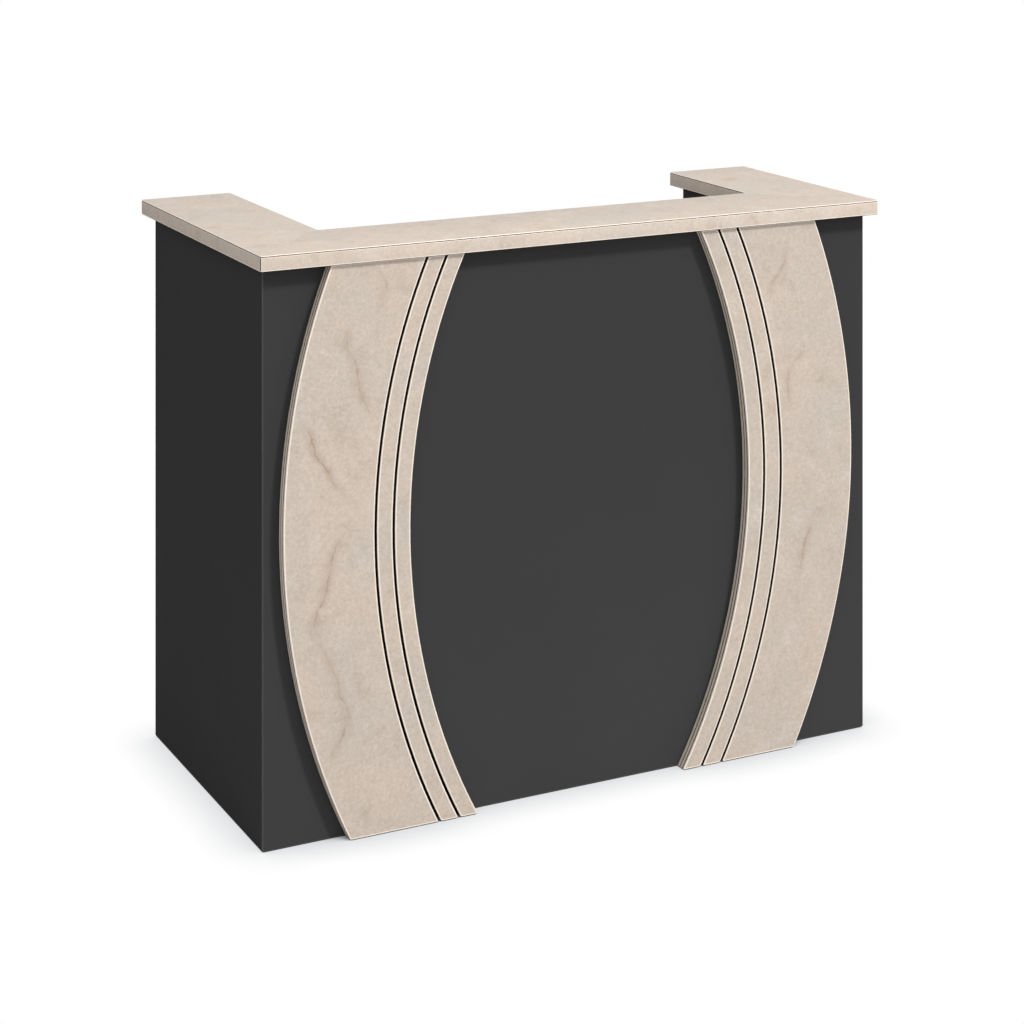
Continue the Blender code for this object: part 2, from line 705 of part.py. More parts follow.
def bow_handle(name, place, parent, upright):
    """A round bar bent into a bow, standing off a front. It lies along X, or along Z."""
    rise = HANDLE_REACH - HANDLE_RADIUS - HANDLE_BEND
    half = HANDLE_SPAN / 2
    path = [((-half, 0), (0, 1))]
    for centre_u, start in ((-half + HANDLE_BEND, math.pi), (half - HANDLE_BEND, math.pi / 2)):
        for step in range(7):
            angle = start - math.pi / 2 * step / 6
            u = centre_u + HANDLE_BEND * math.cos(angle)
            v = rise + HANDLE_BEND * math.sin(angle)
            path.append(((u, v), (math.sin(angle), -math.cos(angle))))
    path.append(((half, 0), (0, -1)))

    form = bmesh.new()
    rings = []
    sides = 12
    for (u, v), (along_u, along_v) in path:
        ring = []
        for i in range(sides):
            angle = 2 * math.pi * i / sides
            outward, across = HANDLE_RADIUS * math.cos(angle), HANDLE_RADIUS * math.sin(angle)
            ring.append(form.verts.new((u - along_v * outward, v + along_u * outward, across)))
        rings.append(ring)
    for a, b in zip(rings, rings[1:]):
        for i in range(sides):
            j = (i + 1) % sides
            form.faces.new((a[i], a[j], b[j], b[i]))
    form.faces.new(rings[0])
    form.faces.new(rings[-1])
    handle = add_object(name, form, place, NICKEL, parent, smooth=True)
    if upright:
        handle.rotation_euler.y = math.pi / 2


# ------------------------------------------------------------------ cupboard door
def build_door():
    axis_x = WING_FACE - GAP - KNUCKLE_RADIUS
    axis_y = FRONTS_BACK + KNUCKLE_RADIUS + 0.0005
    door = group("door_assembly", (axis_x, axis_y, 0))
    depth = (CABINET_BACK, FRONTS_BACK)
    panel("cupboard_door", FRONTS_X, depth, (FRONTS_BOTTOM, DOOR_TOP), CHARCOAL, door)

    grip = (FRONTS_X[0] + DOOR_HANDLE_INSET, FRONTS_BACK + GAP, DOOR_HANDLE_HEIGHT)
    bow_handle("door_handle", grip, door, upright=True)
    middles = (("lower", FRONTS_BOTTOM + HINGE_INSET), ("upper", DOOR_TOP - HINGE_INSET))
    for level, height in middles:
        build_hinge(level, (axis_x, axis_y, height), door)

    catch_x = (HALF_DIVIDER + CATCH_INSET, HALF_DIVIDER + CATCH_INSET + CATCH_WIDTH)
    strike_front = CABINET_BACK - GAP - STRIKE_GAUGE
    catch_depth = (strike_front - GAP - CATCH_DEPTH, strike_front - GAP)
    catch_z = (DECK_UNDERSIDE - GAP - CATCH_HEIGHT, DECK_UNDERSIDE - GAP)
    panel("magnetic_catch", catch_x, catch_depth, catch_z, BLACK_PLASTIC)
    strike_x = (catch_x[0] + 0.002, catch_x[1] - 0.002)
    strike_depth = (strike_front, CABINET_BACK - GAP)
    strike_z = (catch_z[0] + 0.001, catch_z[1] - 0.001)
    panel("catch_strike", strike_x, strike_depth, strike_z, ZINC, door)


def build_hinge(level, axis, door):
    """A butt hinge in three knuckles. The frame leaf holds the middle one and the pin."""
    third = HINGE_HEIGHT / 6  # half of one knuckle's height
    end = HINGE_HEIGHT / 2
    back = -LEAF_DEPTH
    notch = -KNUCKLE_RADIUS - GAP
    frame_tab = -KNUCKLE_RADIUS * 0.35
    door_tab = -(KNUCKLE_RADIUS + KNUCKLE_BORE) / 2 + 0.0002
    middle = third - GAP / 2

    frame_outline = [
        (back, -end),
        (notch, -end),
        (notch, -middle),
        (frame_tab, -middle),
        (frame_tab, middle),
        (notch, middle),
        (notch, end),
        (back, end),
    ]
    frame_x = (KNUCKLE_RADIUS - LEAF_GAUGE, KNUCKLE_RADIUS)
    frame_name = f"{level}_hinge_frame_leaf"
    frame_leaf = prism(frame_name, frame_outline, *frame_x, "X", NICKEL, axis)
    for part, radius, half in (("knuckle", KNUCKLE_RADIUS, middle), ("pin", HINGE_PIN_RADIUS, end)):
        tool = cylinder_tool(f"{level}_frame_{part}", radius, -half, half, axis, 16)
        join_on(frame_leaf, tool)

    edge = middle + GAP
    door_outline = [
        (back, -end),
        (door_tab, -end),
        (door_tab, -edge),
        (notch, -edge),
        (notch, edge),
        (door_tab, edge),
        (door_tab, end),
        (back, end),
    ]
    door_edge = FRONTS_X[1] - axis[0]
    door_x = (door_edge + GAP, door_edge + GAP + LEAF_GAUGE)
    door_name = f"{level}_hinge_door_leaf"
    door_leaf = prism(door_name, door_outline, *door_x, "X", NICKEL, axis, door)
    for part, low, high in (("low", -end, -edge), ("high", edge, end)):
        ring = [
            (KNUCKLE_BORE, low),
            (KNUCKLE_RADIUS, low),
            (KNUCKLE_RADIUS, high),
            (KNUCKLE_BORE, high),
        ]
        tool = turned(f"{level}_door_knuckle_{part}", ring, 16, None, axis, door)
        join_on(door_leaf, tool)


# ------------------------------------------------------------------ cable grommet
def build_grommet():
    """A plastic ring let into the work surface, with a cap that turns to open its slot."""
    place = (GROMMET_X, FRONT + GROMMET_DEPTH, WORK_HEIGHT)
    tube, lip = GROMMET_HOLE_RADIUS - 0.0005, GROMMET_HOLE_RADIUS + 0.004
    cap_seat, mouth = GROMMET_HOLE_RADIUS - 0.0028, GROMMET_HOLE_RADIUS - 0.0048
    lip_top, seat_height, tube_end = 0.0028, -0.0018, -0.022
    ring = [
        (mouth, tube_end),
        (tube, tube_end),
        (tube, GAP),
        (lip, GAP),
        (lip, lip_top - 0.0008),
        (lip - 0.0010, lip_top),
        (cap_seat, lip_top),
        (cap_seat, seat_height),
        (mouth, seat_height),
    ]
    turned("grommet_ring", ring, 48, BLACK_PLASTIC, place)

    cap_radius = cap_seat - GAP
    cap_low, cap_high = seat_height + GAP, lip_top - 0.0004
    cap = [
        (0, cap_low),
        (cap_radius, cap_low),
        (cap_radius, cap_high - 0.0005),
        (cap_radius - 0.0006, cap_high),
        (0, cap_high),
    ]
    cap = turned("grommet_cap", cap, 48, BLACK_PLASTIC, place)
    width, deep = CABLE_SLOT
    slot = bmesh.new()
    add_box(slot, (width, 2 * deep, 0.02), (0, cap_radius, 0))
    cut(cap, add_object("cable_slot", slot, place, None))


def build_counter():
    clear_scene()
    build_top()
    build_body()
    build_facing(LEFT_BOW, "left")
    build_facing(RIGHT_BOW, "right")
    build_carcass()
    build_cupboard_shelf()
    build_drawer()
    build_door()
    build_grommet()


build_counter()
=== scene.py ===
"""Finished looks of the checkout counter, built around its solid model.

Metres, +Z up, in the model's own frame: the customer stands at -Y, the staff at +Y.
"""

import json
import math

import bmesh
import bpy
from mathutils import Matrix, Vector
from mathutils.geometry import intersect_line_line

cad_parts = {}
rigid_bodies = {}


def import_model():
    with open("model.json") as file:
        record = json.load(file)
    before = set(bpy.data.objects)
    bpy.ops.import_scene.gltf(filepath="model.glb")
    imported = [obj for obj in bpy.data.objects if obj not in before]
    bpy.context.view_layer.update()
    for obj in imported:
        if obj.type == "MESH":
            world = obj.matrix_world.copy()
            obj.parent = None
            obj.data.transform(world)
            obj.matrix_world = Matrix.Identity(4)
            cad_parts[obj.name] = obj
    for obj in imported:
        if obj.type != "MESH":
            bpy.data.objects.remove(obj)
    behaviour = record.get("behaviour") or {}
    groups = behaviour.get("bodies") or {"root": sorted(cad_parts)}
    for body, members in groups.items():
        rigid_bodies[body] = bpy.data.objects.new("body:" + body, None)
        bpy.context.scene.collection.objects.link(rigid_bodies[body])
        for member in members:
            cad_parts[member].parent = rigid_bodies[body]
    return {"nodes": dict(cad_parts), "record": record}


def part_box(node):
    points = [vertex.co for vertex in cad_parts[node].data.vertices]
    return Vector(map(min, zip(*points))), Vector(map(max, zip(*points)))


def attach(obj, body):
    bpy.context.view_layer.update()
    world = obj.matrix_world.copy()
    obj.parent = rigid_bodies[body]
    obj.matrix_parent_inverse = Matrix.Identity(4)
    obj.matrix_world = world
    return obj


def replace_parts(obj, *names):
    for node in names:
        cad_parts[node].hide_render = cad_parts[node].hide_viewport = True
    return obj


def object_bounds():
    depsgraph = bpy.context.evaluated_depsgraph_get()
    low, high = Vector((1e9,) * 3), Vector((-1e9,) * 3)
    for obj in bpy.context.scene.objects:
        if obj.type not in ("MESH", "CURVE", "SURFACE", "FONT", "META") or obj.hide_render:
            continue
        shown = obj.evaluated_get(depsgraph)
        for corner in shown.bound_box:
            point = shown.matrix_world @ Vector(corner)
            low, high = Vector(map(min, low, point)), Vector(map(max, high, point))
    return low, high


for leftover in list(bpy.data.objects):
    bpy.data.objects.remove(leftover, do_unlink=True)

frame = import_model()
cad_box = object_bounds()

NODES = frame["nodes"]
BODY_OF = {
    node: body for body, nodes in frame["record"]["behaviour"]["bodies"].items() for node in nodes
}

# ------------------------------------------------------------------ sizes of the fine detail
ARRIS = 0.0006  # eased edges of the melamine boards
BODY_ARRIS = 0.0013  # eased edges of the body's outer panels
DRAWER_ARRIS = 0.0005
WORK_SURFACE_ARRIS = 0.0015
SHEET_ARRIS = 0.0014  # rounded edge of the top's facing sheet
STRIP_TOP_SEAM = 0.0008  # the top's edge strip starts this far below its solid
STRIP_ARRIS = 0.0009  # eased edges of the top's edge strip
STRIP_LINE = 0.0014  # a painted highlight line above the strip's lower edge
STRIP_WALL = 0.0015  # the edge strip's thickness
FACING_LINE = 0.0014  # a painted highlight line round the face of a facing board
FACING_ARRIS = 0.0012  # rounded front edge of the facing boards
FACING_SHEET = 0.0040  # depth of the seam behind a facing board's front layer
SEAM = 0.0024  # width of the seam behind the front layer
SEAM_DEPTH = 0.0012
SEAM_SLOPE = 0.1  # share of a seam's width that each of its sloping sides takes
BACKING_ARRIS = 0.0003
BACKING_FOOT = 0.0018  # a painted shade line, black, where a backing meets the front panel
BACKING_SEAM = 0.0026  # black shadow line between a facing board and its backing
DARK_SIDE_DEPTH = 0.0013  # the grooves' walls are black from here down
SHEET_CLEARANCE = 0.0003  # between the top's facing sheet and the strip under it
ROUND_STEPS = 4  # flats that stand for a quarter of a rounded edge
SHARP = 40  # degrees: a steeper corner than this is shaded sharp
SHARP_SMALL = 30  # the same on small hardware,
SHARP_SCREW = 35  # on screw heads,
SHARP_NUT = 20  # and on the lock's nut
WELD = 1e-6  # points closer than this are one point
FLAT = math.radians(0.4)  # faces that turn less than this are one face
STRAIGHT = 0.999  # cosine: a face this nearly square to a direction looks along it
EASED = math.radians(40)  # edges that turn more than this are eased


# ------------------------------------------------------------------ materials
class Tree:
    """The nodes of a material or of the world, built up one step at a time."""

    def __init__(self, owner):
        owner.use_nodes = True
        self.nodes = owner.node_tree.nodes
        self.links = owner.node_tree.links

    def add(self, kind, inputs=None, **settings):
        node = self.nodes.new(kind)
        for setting, value in settings.items():
            setattr(node, setting, value)
        for socket, value in (inputs or {}).items():
            self.put(node.inputs[socket], value)
        return node

    def put(self, socket, value):
        if isinstance(value, bpy.types.NodeSocket):
            self.links.new(value, socket)
        else:
            socket.default_value = value

    def calc(self, operation, a, b=0.0):
        return self.add("ShaderNodeMath", {0: a, 1: b}, operation=operation).outputs[0]

    def times(self, a, b):
        return self.calc("MULTIPLY", a, b)

    def spread(self, value, low, high, to_low=0.0, to_high=1.0, smooth=False):
        """Carries a range of a value over to another range, and clamps it there."""
        inputs = {"Value": value, "From Min": low, "From Max": high}
        inputs.update({"To Min": to_low, "To Max": to_high})
        kind = "SMOOTHSTEP" if smooth else "LINEAR"
        return self.add("ShaderNodeMapRange", inputs, interpolation_type=kind).outputs[0]

    def mix(self, share, a, b, blend="MIX"):
        node = self.add("ShaderNodeMix", data_type="RGBA", blend_type=blend)
        self.put(node.inputs["Factor"], share)
        self.put(node.inputs["A"], a)
        self.put(node.inputs["B"], b)
        return node.outputs["Result"]

    def split(self, place):
        return self.add("ShaderNodeSeparateXYZ", {0: place}).outputs


class Recipe(Tree):
    """A material. Its places are the model's own."""

    def __init__(self, name):
        self.material = bpy.data.materials.new(name)
        super().__init__(self.material)
        self.shader = self.nodes["Principled BSDF"]
        self.place = self.add("ShaderNodeTexCoord").outputs["Object"]

    def stretched(self, scale):
        return self.add("ShaderNodeMapping", {"Vector": self.place, "Scale": scale}).outputs[0]

    def noise(self, scale, detail=2.0, roughness=0.5, place=None, output=0):
        inputs = {"Vector": place or self.place, "Scale": scale, "Detail": detail}
        inputs["Roughness"] = roughness
        return self.add("ShaderNodeTexNoise", inputs).outputs[output]

    def warped(self, amount, scale, place=None):
        """A place, pushed about by a noise."""
        place = place or self.place
        push = self.noise(scale, 3.0, place=place, output=1)
        kind = "ShaderNodeVectorMath"
        centred = self.add(kind, {0: push, 1: (0.5, 0.5, 0.5)}, operation="SUBTRACT").outputs[0]
        scaled = self.add(kind, {0: centred, "Scale": amount}, operation="SCALE").outputs[0]
        return self.add(kind, {0: place, 1: scaled}, operation="ADD").outputs[0]

    def curve(self, value, points):
        """A smooth curve through a few (from, to) points, all between 0 and 1."""
        node = self.add("ShaderNodeFloatCurve", {"Value": value})
        line = node.mapping.curves[0]
        while len(line.points) < len(points):
            line.points.new(0.5, 0.5)
        for point, location in zip(line.points, sorted(points)):
            point.location = location
        node.mapping.update()
        return node.outputs[0]

    def bumped(self, height, strength, distance):
        inputs = {"Height": height, "Strength": strength, "Distance": distance}
        return self.add("ShaderNodeBump", inputs).outputs[0]

    def finish(self, colour, roughness, normal=None, metallic=0.0, **extra):
        self.put(self.shader.inputs["Base Color"], colour)
        self.put(self.shader.inputs["Roughness"], roughness)
        self.put(self.shader.inputs["Metallic"], metallic)
        if normal:
            self.put(self.shader.inputs["Normal"], normal)
        for socket, value in extra.items():
            self.put(self.shader.inputs[socket.replace("_", " ")], value)
        return self.material


def rgb(red, green, blue):
    """A colour given in 0-255 display values, as linear light."""

    def linear(value):
        value /= 255
        return value / 12.92 if value <= 0.04045 else ((value + 0.055) / 1.055) ** 2.4

    return (linear(red), linear(green), linear(blue), 1.0)


VEIN_WIDTH = 0.0011
VEIN_ROOM = 0.01  # beside a vein's furthest turns
VEIN_END = 0.004  # a vein fades out this far past its ends
VEIN_FADE_IN = 0.05
VEIN_FADE_OUT = 0.04
VEIN_CORE = (0.3, 2.2)  # times its width: where a vein's core starts to fade, and where it ends
STAIN_REACH = 0.018  # to each side of a vein


def veins_on(node, *drawn):
    """Drawn veins: each a strength, and places across and up from the node's low corner."""
    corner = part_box(node)[0]
    return [
        (strength, [(corner.x + across, corner.z + up) for across, up in places])
        for strength, *places in drawn
    ]


def draw_vein(recipe, place, strength, points):
    """How strongly a place is on a vein's thin core, and on the soft stain round it."""
    sides, heights = zip(*points)
    low, high = min(heights), max(heights)
    left, span = min(sides) - VEIN_ROOM, max(sides) - min(sides) + 2 * VEIN_ROOM
    x, _, z = recipe.split(place)
    along = recipe.spread(z, low, high)
    drawn = [((pz - low) / (high - low), (px - left) / span) for px, pz in points]
    line = recipe.calc("MULTIPLY_ADD", recipe.curve(along, drawn), span)
    line.node.inputs[2].default_value = left
    off = recipe.calc("ABSOLUTE", recipe.calc("SUBTRACT", x, line))
    fade_in = recipe.spread(z, low - VEIN_END, low + VEIN_FADE_IN, 0.0, 1.0, smooth=True)
    fade_out = recipe.spread(z, high - VEIN_FADE_OUT, high + VEIN_END, 1.0, 0.0, smooth=True)
    shown = recipe.times(recipe.times(fade_in, fade_out), strength)
    full, gone = (VEIN_WIDTH * share for share in VEIN_CORE)
    core = recipe.spread(off, full, gone, 1.0, 0.0, smooth=True)
    stain = recipe.spread(off, 0.0, STAIN_REACH, 1.0, 0.0, smooth=True)
    return recipe.times(core, shown), recipe.times(stain, shown)


def stone(name, veins=(), lightness=1.0):
    """Beige stone-look laminate: warm and grey clouds, fine mottling, and sparse brown veins."""
    r = Recipe(name)
    loose = r.warped(0.06, 5.0)
    clouds = r.noise(6.5, 4.0, 0.6, loose)  # about 150 mm across
    patches = r.noise(19.0, 5.0, 0.65, loose)  # 50 mm
    blots = r.noise(48.0, 4.0, 0.65, loose)  # 20 mm
    mottle = r.noise(150.0, 4.0, 0.7)  # 7 mm
    grain = r.noise(340.0, 3.0, 0.7)  # 3 mm

    tone = r.mix(r.spread(clouds, 0.38, 0.62), STONE_WARM, STONE_GREY)
    tone = r.mix(r.spread(patches, 0.55, 0.74, 0.0, 0.7), tone, STONE_TAN)
    tone = r.mix(r.spread(patches, 0.45, 0.27, 0.0, 0.6), tone, STONE_PALE)
    tone = r.mix(r.spread(blots, 0.58, 0.76, 0.0, 0.45), tone, STONE_PINK)
    shade = r.spread(mottle, 0.25, 0.75, 0.87, 1.10)
    shade = r.times(shade, r.spread(grain, 0.2, 0.8, 0.87, 1.10))
    shade = r.times(shade, lightness)

    if veins:
        shaken = r.warped(0.006, 170.0, r.warped(0.014, 48.0))
        broken = r.spread(r.noise(34.0, 4.0, 0.65), 0.38, 0.62, 0.05, 1.0)
        feather = r.spread(r.noise(75.0, 4.0, 0.7), 0.36, 0.60, 0.15, 1.0)
        cores, stains = 0.0, 0.0
        for strength, points in veins:
            core, stain = draw_vein(r, shaken, strength, points)
            cores = r.calc("MAXIMUM", cores, core)
            stains = r.calc("MAXIMUM", stains, stain)
        stains = r.times(stains, feather)
        cores = r.times(cores, broken)
        tone = r.mix(r.times(stains, STAIN_DEPTH), tone, VEIN_TAN)
        tone = r.mix(r.times(cores, VEIN_DEPTH), tone, VEIN_BROWN)
    tone = r.mix(1.0, tone, shade, blend="MULTIPLY")

    relief = r.calc("ADD", r.times(grain, 0.6), r.times(mottle, 0.4))
    sheen = r.spread(mottle, 0.25, 0.75, 0.38, 0.52)
    return r.finish(tone, sheen, r.bumped(relief, 0.25, 0.0003))


def tinted_edge(name, colour, roughness):
    """An edge colour, even but for the fine marks of the cutter: the dark seams, and the painted
    highlights on eased edges.
    """
    r = Recipe(name)
    marks = r.noise(260.0, 3.0, 0.6)
    tone = r.mix(1.0, colour, r.spread(marks, 0.25, 0.75, 0.93, 1.05), blend="MULTIPLY")
    sheen = r.spread(marks, 0.25, 0.75, roughness - 0.05, roughness + 0.08)
    return r.finish(tone, sheen, r.bumped(marks, 0.15, 0.0002))


def fibre_edge(name, colour):
    """The sanded and painted edge of fibreboard, with its layers running along the board."""
    r = Recipe(name)
    layers = r.noise(1.0, 4.0, 0.65, r.stretched((40.0, 900.0, 40.0)))
    fibres = r.noise(700.0, 2.0, 0.6)
    shade = r.spread(layers, 0.3, 0.7, 0.86, 1.08)
    shade = r.times(shade, r.spread(fibres, 0.2, 0.8, 0.94, 1.04))
    tone = r.mix(1.0, colour, shade, blend="MULTIPLY")
    return r.finish(tone, 0.6, r.bumped(layers, 0.2, 0.0002))


def melamine(name, colour, roughness, shine=0.3, painted_floor_light=0.0):
    """Melamine-faced board: a fine pearl grain, slow drifts of tone, and painted light that makes
    it lighter near the floor.
    """
    r = Recipe(name)
    pearl = r.noise(650.0, 3.0, 0.65)
    drift = r.noise(2.2, 3.0, 0.5)
    smears = r.noise(1.0, 4.0, 0.6, r.stretched((7.0, 7.0, 2.5)))
    shade = r.spread(pearl, 0.25, 0.75, 0.94, 1.06)
    shade = r.times(shade, r.spread(drift, 0.3, 0.7, 0.97, 1.03))
    height = r.split(r.place)[2]
    # Painted light: lighter towards the floor.
    shade = r.times(shade, r.spread(height, 0.0, PAINTED_LIGHT_TOP, 1 + painted_floor_light, 1.0))
    tone = r.mix(1.0, colour, shade, blend="MULTIPLY")
    sheen = r.spread(smears, 0.3, 0.7, roughness - 0.03, roughness + 0.05)
    return r.finish(tone, sheen, r.bumped(pearl, 0.22, 0.00015), Specular_IOR_Level=shine)


def linen_board(name, colour):
    """Drawer board with the crossed threads of a pressed linen print."""
    r = Recipe(name)
    warp = r.noise(1.0, 2.0, 0.5, r.stretched((1400.0, 1400.0, 60.0)))
    weft = r.noise(1.0, 2.0, 0.5, r.stretched((60.0, 60.0, 1400.0)))
    cloth = r.times(r.calc("ADD", warp, weft), 0.5)
    tone = r.mix(1.0, colour, r.spread(cloth, 0.3, 0.7, 0.93, 1.05), blend="MULTIPLY")
    return r.finish(tone, 0.55, r.bumped(cloth, 0.2, 0.0002))


METAL_SHARE = 0.78  # satin plating scatters the rest of the light


def brushed(name, colour, roughness, along):
    """Metal plate brushed one way, with faint blotches in the plating."""
    r = Recipe(name)
    stretch = [25.0 if axis == along else 1100.0 for axis in "XYZ"]
    hair = r.noise(1.0, 3.0, 0.6, r.stretched(stretch))
    blotch = r.noise(60.0, 3.0, 0.6)
    shade = r.spread(hair, 0.25, 0.75, 0.90, 1.06)
    shade = r.times(shade, r.spread(blotch, 0.3, 0.7, 0.94, 1.03))
    tone = r.mix(1.0, colour, shade, blend="MULTIPLY")
    sheen = r.spread(hair, 0.25, 0.75, roughness - 0.06, roughness + 0.1)
    return r.finish(tone, sheen, r.bumped(hair, 0.12, 0.0001), metallic=METAL_SHARE)


def moulded_plastic(name, colour):
    """Injection-moulded plastic with a fine spark-eroded grain."""
    r = Recipe(name)
    sparks = r.noise(1500.0, 2.0, 0.6)
    flow = r.noise(40.0, 3.0, 0.5)
    tone = r.mix(1.0, colour, r.spread(sparks, 0.2, 0.8, 0.85, 1.15), blend="MULTIPLY")
    return r.finish(tone, r.spread(flow, 0.3, 0.7, 0.42, 0.55), r.bumped(sparks, 0.25, 0.0001))


STONE_WARM = rgb(212, 197, 183)
STONE_GREY = rgb(206, 195, 184)
STONE_TAN = rgb(191, 174, 158)
STONE_PALE = rgb(223, 210, 200)
STONE_PINK = rgb(202, 184, 170)
VEIN_BROWN = rgb(132, 108, 88)
VEIN_TAN = rgb(178, 152, 130)
VEIN_DEPTH = 0.70
STAIN_DEPTH = 0.80
PAINTED_LIGHT_TOP = 0.75  # the boards' painted light fades out from the floor up to this height

LEFT_VEINS = veins_on(
    "left_facing_band",
    (0.75, (0.028, 0.752), (0.044, 0.736), (0.053, 0.712), (0.064, 0.684), (0.085, 0.660),
     (0.092, 0.640), (0.107, 0.618), (0.131, 0.600)),
    (0.6, (0.134, 0.917), (0.121, 0.905), (0.120, 0.877), (0.131, 0.856), (0.140, 0.826),
     (0.144, 0.795), (0.152, 0.776), (0.163, 0.753), (0.167, 0.730)),
    (0.5, (0.180, 1.010), (0.194, 0.968), (0.187, 0.950), (0.175, 0.915)),
    (0.7, (0.122, 0.545), (0.096, 0.516), (0.087, 0.483), (0.080, 0.452), (0.072, 0.424),
     (0.062, 0.405), (0.060, 0.385), (0.066, 0.362)),
    (0.5, (0.060, 0.368), (0.092, 0.306), (0.109, 0.253), (0.123, 0.225), (0.115, 0.196),
     (0.102, 0.172), (0.079, 0.126)),
)
RIGHT_VEINS = veins_on(
    "right_facing_band",
    (0.45, (0.150, 0.984), (0.138, 0.942), (0.108, 0.885), (0.115, 0.858)),
    (0.55, (0.187, 0.784), (0.176, 0.758), (0.159, 0.744), (0.150, 0.727), (0.148, 0.696),
     (0.155, 0.657)),
    (0.6, (0.220, 0.455), (0.206, 0.441), (0.199, 0.423), (0.187, 0.395), (0.180, 0.357),
     (0.171, 0.319)),
)

FINISHES = {
    "stone_left": stone("stone_laminate_left_facing", LEFT_VEINS, 0.885),
    "stone_right": stone("stone_laminate_right_facing", RIGHT_VEINS, 0.87),
    "stone_top": stone("stone_laminate_top", lightness=1.02),
    "stone_edge": stone("stone_edge_band", lightness=0.94),
    # A painted highlight: a light colour on the rounded and eased stone edges and on the light
    # lines beside them.
    "painted_highlight_arris": tinted_edge("painted_highlight_stone_edge", rgb(239, 228, 216), 0.28),
    "seam": tinted_edge("laminate_seam", rgb(58, 44, 38), 0.6),
    "front_layer": fibre_edge("facing_front_layer_edge", rgb(240, 230, 218)),
    "core": fibre_edge("facing_core_edge", rgb(226, 214, 198)),
    "backing": fibre_edge("facing_backing_edge", rgb(214, 204, 190)),
    "underside": melamine("balancing_sheet", rgb(150, 138, 126), 0.6),
    # Black in the grooves; the same black is a painted shade on the top strip's lower eased edge,
    # at the back of the facing boards and at the backings' foot.
    "groove": melamine("groove_black_and_painted_shade", rgb(30, 22, 17), 0.55),
    # The charcoal is painted lighter towards the floor: painted light.
    "charcoal": melamine("charcoal_melamine", rgb(57, 57, 58), 0.55, shine=0.1, painted_floor_light=0.16),
    # A painted highlight, lighter than the charcoal, on the boards' eased edges.
    "charcoal_edge_painted_highlight": tinted_edge("charcoal_edge_painted_highlight", rgb(98, 98, 100), 0.4),
    "drawer_board": linen_board("drawer_linen_board", rgb(186, 187, 184)),
    # A painted highlight, lighter than the drawer board, on its eased edges.
    "drawer_board_edge_painted_highlight": tinted_edge("drawer_board_edge_painted_highlight", rgb(198, 198, 195), 0.45),
    "zinc": brushed("zinc_plated_steel", rgb(186, 190, 194), 0.34, "Y"),
    "nickel_z": brushed("brushed_nickel_upright", rgb(190, 186, 180), 0.28, "Z"),
    "nickel_x": brushed("brushed_nickel_level", rgb(190, 186, 180), 0.28, "X"),
    "plastic": moulded_plastic("black_plastic", rgb(30, 30, 31)),
    "screw": brushed("screw_steel", rgb(176, 178, 180), 0.30, "Z"),
}


# ------------------------------------------------------------------ mesh tools
def bare_solid(node):
    """A node's solid as a clean bmesh: its points joined up and its flat faces made whole."""
    form = bmesh.new()
    form.from_mesh(NODES[node].data)
    bmesh.ops.remove_doubles(form, verts=form.verts, dist=WELD)
    bmesh.ops.dissolve_limit(form, angle_limit=FLAT, verts=form.verts, edges=form.edges)
    bmesh.ops.recalc_face_normals(form, faces=form.faces)
    return form


def flat_outline(node, direction):
    """The outline of the outermost flat face of a node that looks along a direction."""
    form = bare_solid(node)
    direction = Vector(direction)

    def rank(face):
        """How far out a face is, to 10 micrometres, and then how large it is."""
        return round(face.calc_center_median().dot(direction), 5), face.calc_area()

    facing = [f for f in form.faces if f.normal.dot(direction) > STRAIGHT]
    points = [v.co.copy() for v in max(facing, key=rank).verts]
    form.free()
    return points


def inset_outline(points, normal, inset):
    """Moves a flat outline's edges inwards by one distance, keeping its corners square.

    The short edges of a round corner that this would turn over meet in one point instead.
    """
    count = len(points)
    edges = [(points[(i + 1) % count] - points[i]).normalized() for i in range(count)]
    moved = []
    for i, point in enumerate(points):
        before, after = normal.cross(edges[i - 1]), normal.cross(edges[i])
        moved.append(point + (before + after) * (inset / (1 + before.dot(after))))

    def length(i):
        """How much of an edge is left: less than nothing, if it has turned over."""
        return (moved[(i + 1) % count] - moved[i % count]).dot(edges[i % count])

    while turned := [i for i in range(count) if length(i) < 0]:
        first = last = turned[0]
        while length(first - 1) <= 0:
            first -= 1
        while length(last + 1) <= 0:
            last += 1
        sides = [moved[i % count] for i in (first - 1, first, last + 1, last + 2)]
        corner = intersect_line_line(*sides)[0]
        for i in range(first, last + 2):
            moved[i % count] = corner
    return moved


def add_piece(name, form, node, finishes, sharp=SHARP):
    """Turns a bmesh into a piece on a CAD node's body, smooth but for its steeper corners."""
    mesh = bpy.data.meshes.new(name)
    form.to_mesh(mesh)
    form.free()
    mesh.set_sharp_from_angle(angle=math.radians(sharp))
    for finish in finishes:
        mesh.materials.append(FINISHES[finish])
    piece = bpy.data.objects.new(name, mesh)
    bpy.context.scene.collection.objects.link(piece)
    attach(piece, BODY_OF[node])
    return piece


def stand_for(node, form, finishes, sharp=SHARP):
    """Shows a bmesh in the place of a CAD node."""
    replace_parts(add_piece(f"{node}_finished", form, node, finishes, sharp), node)


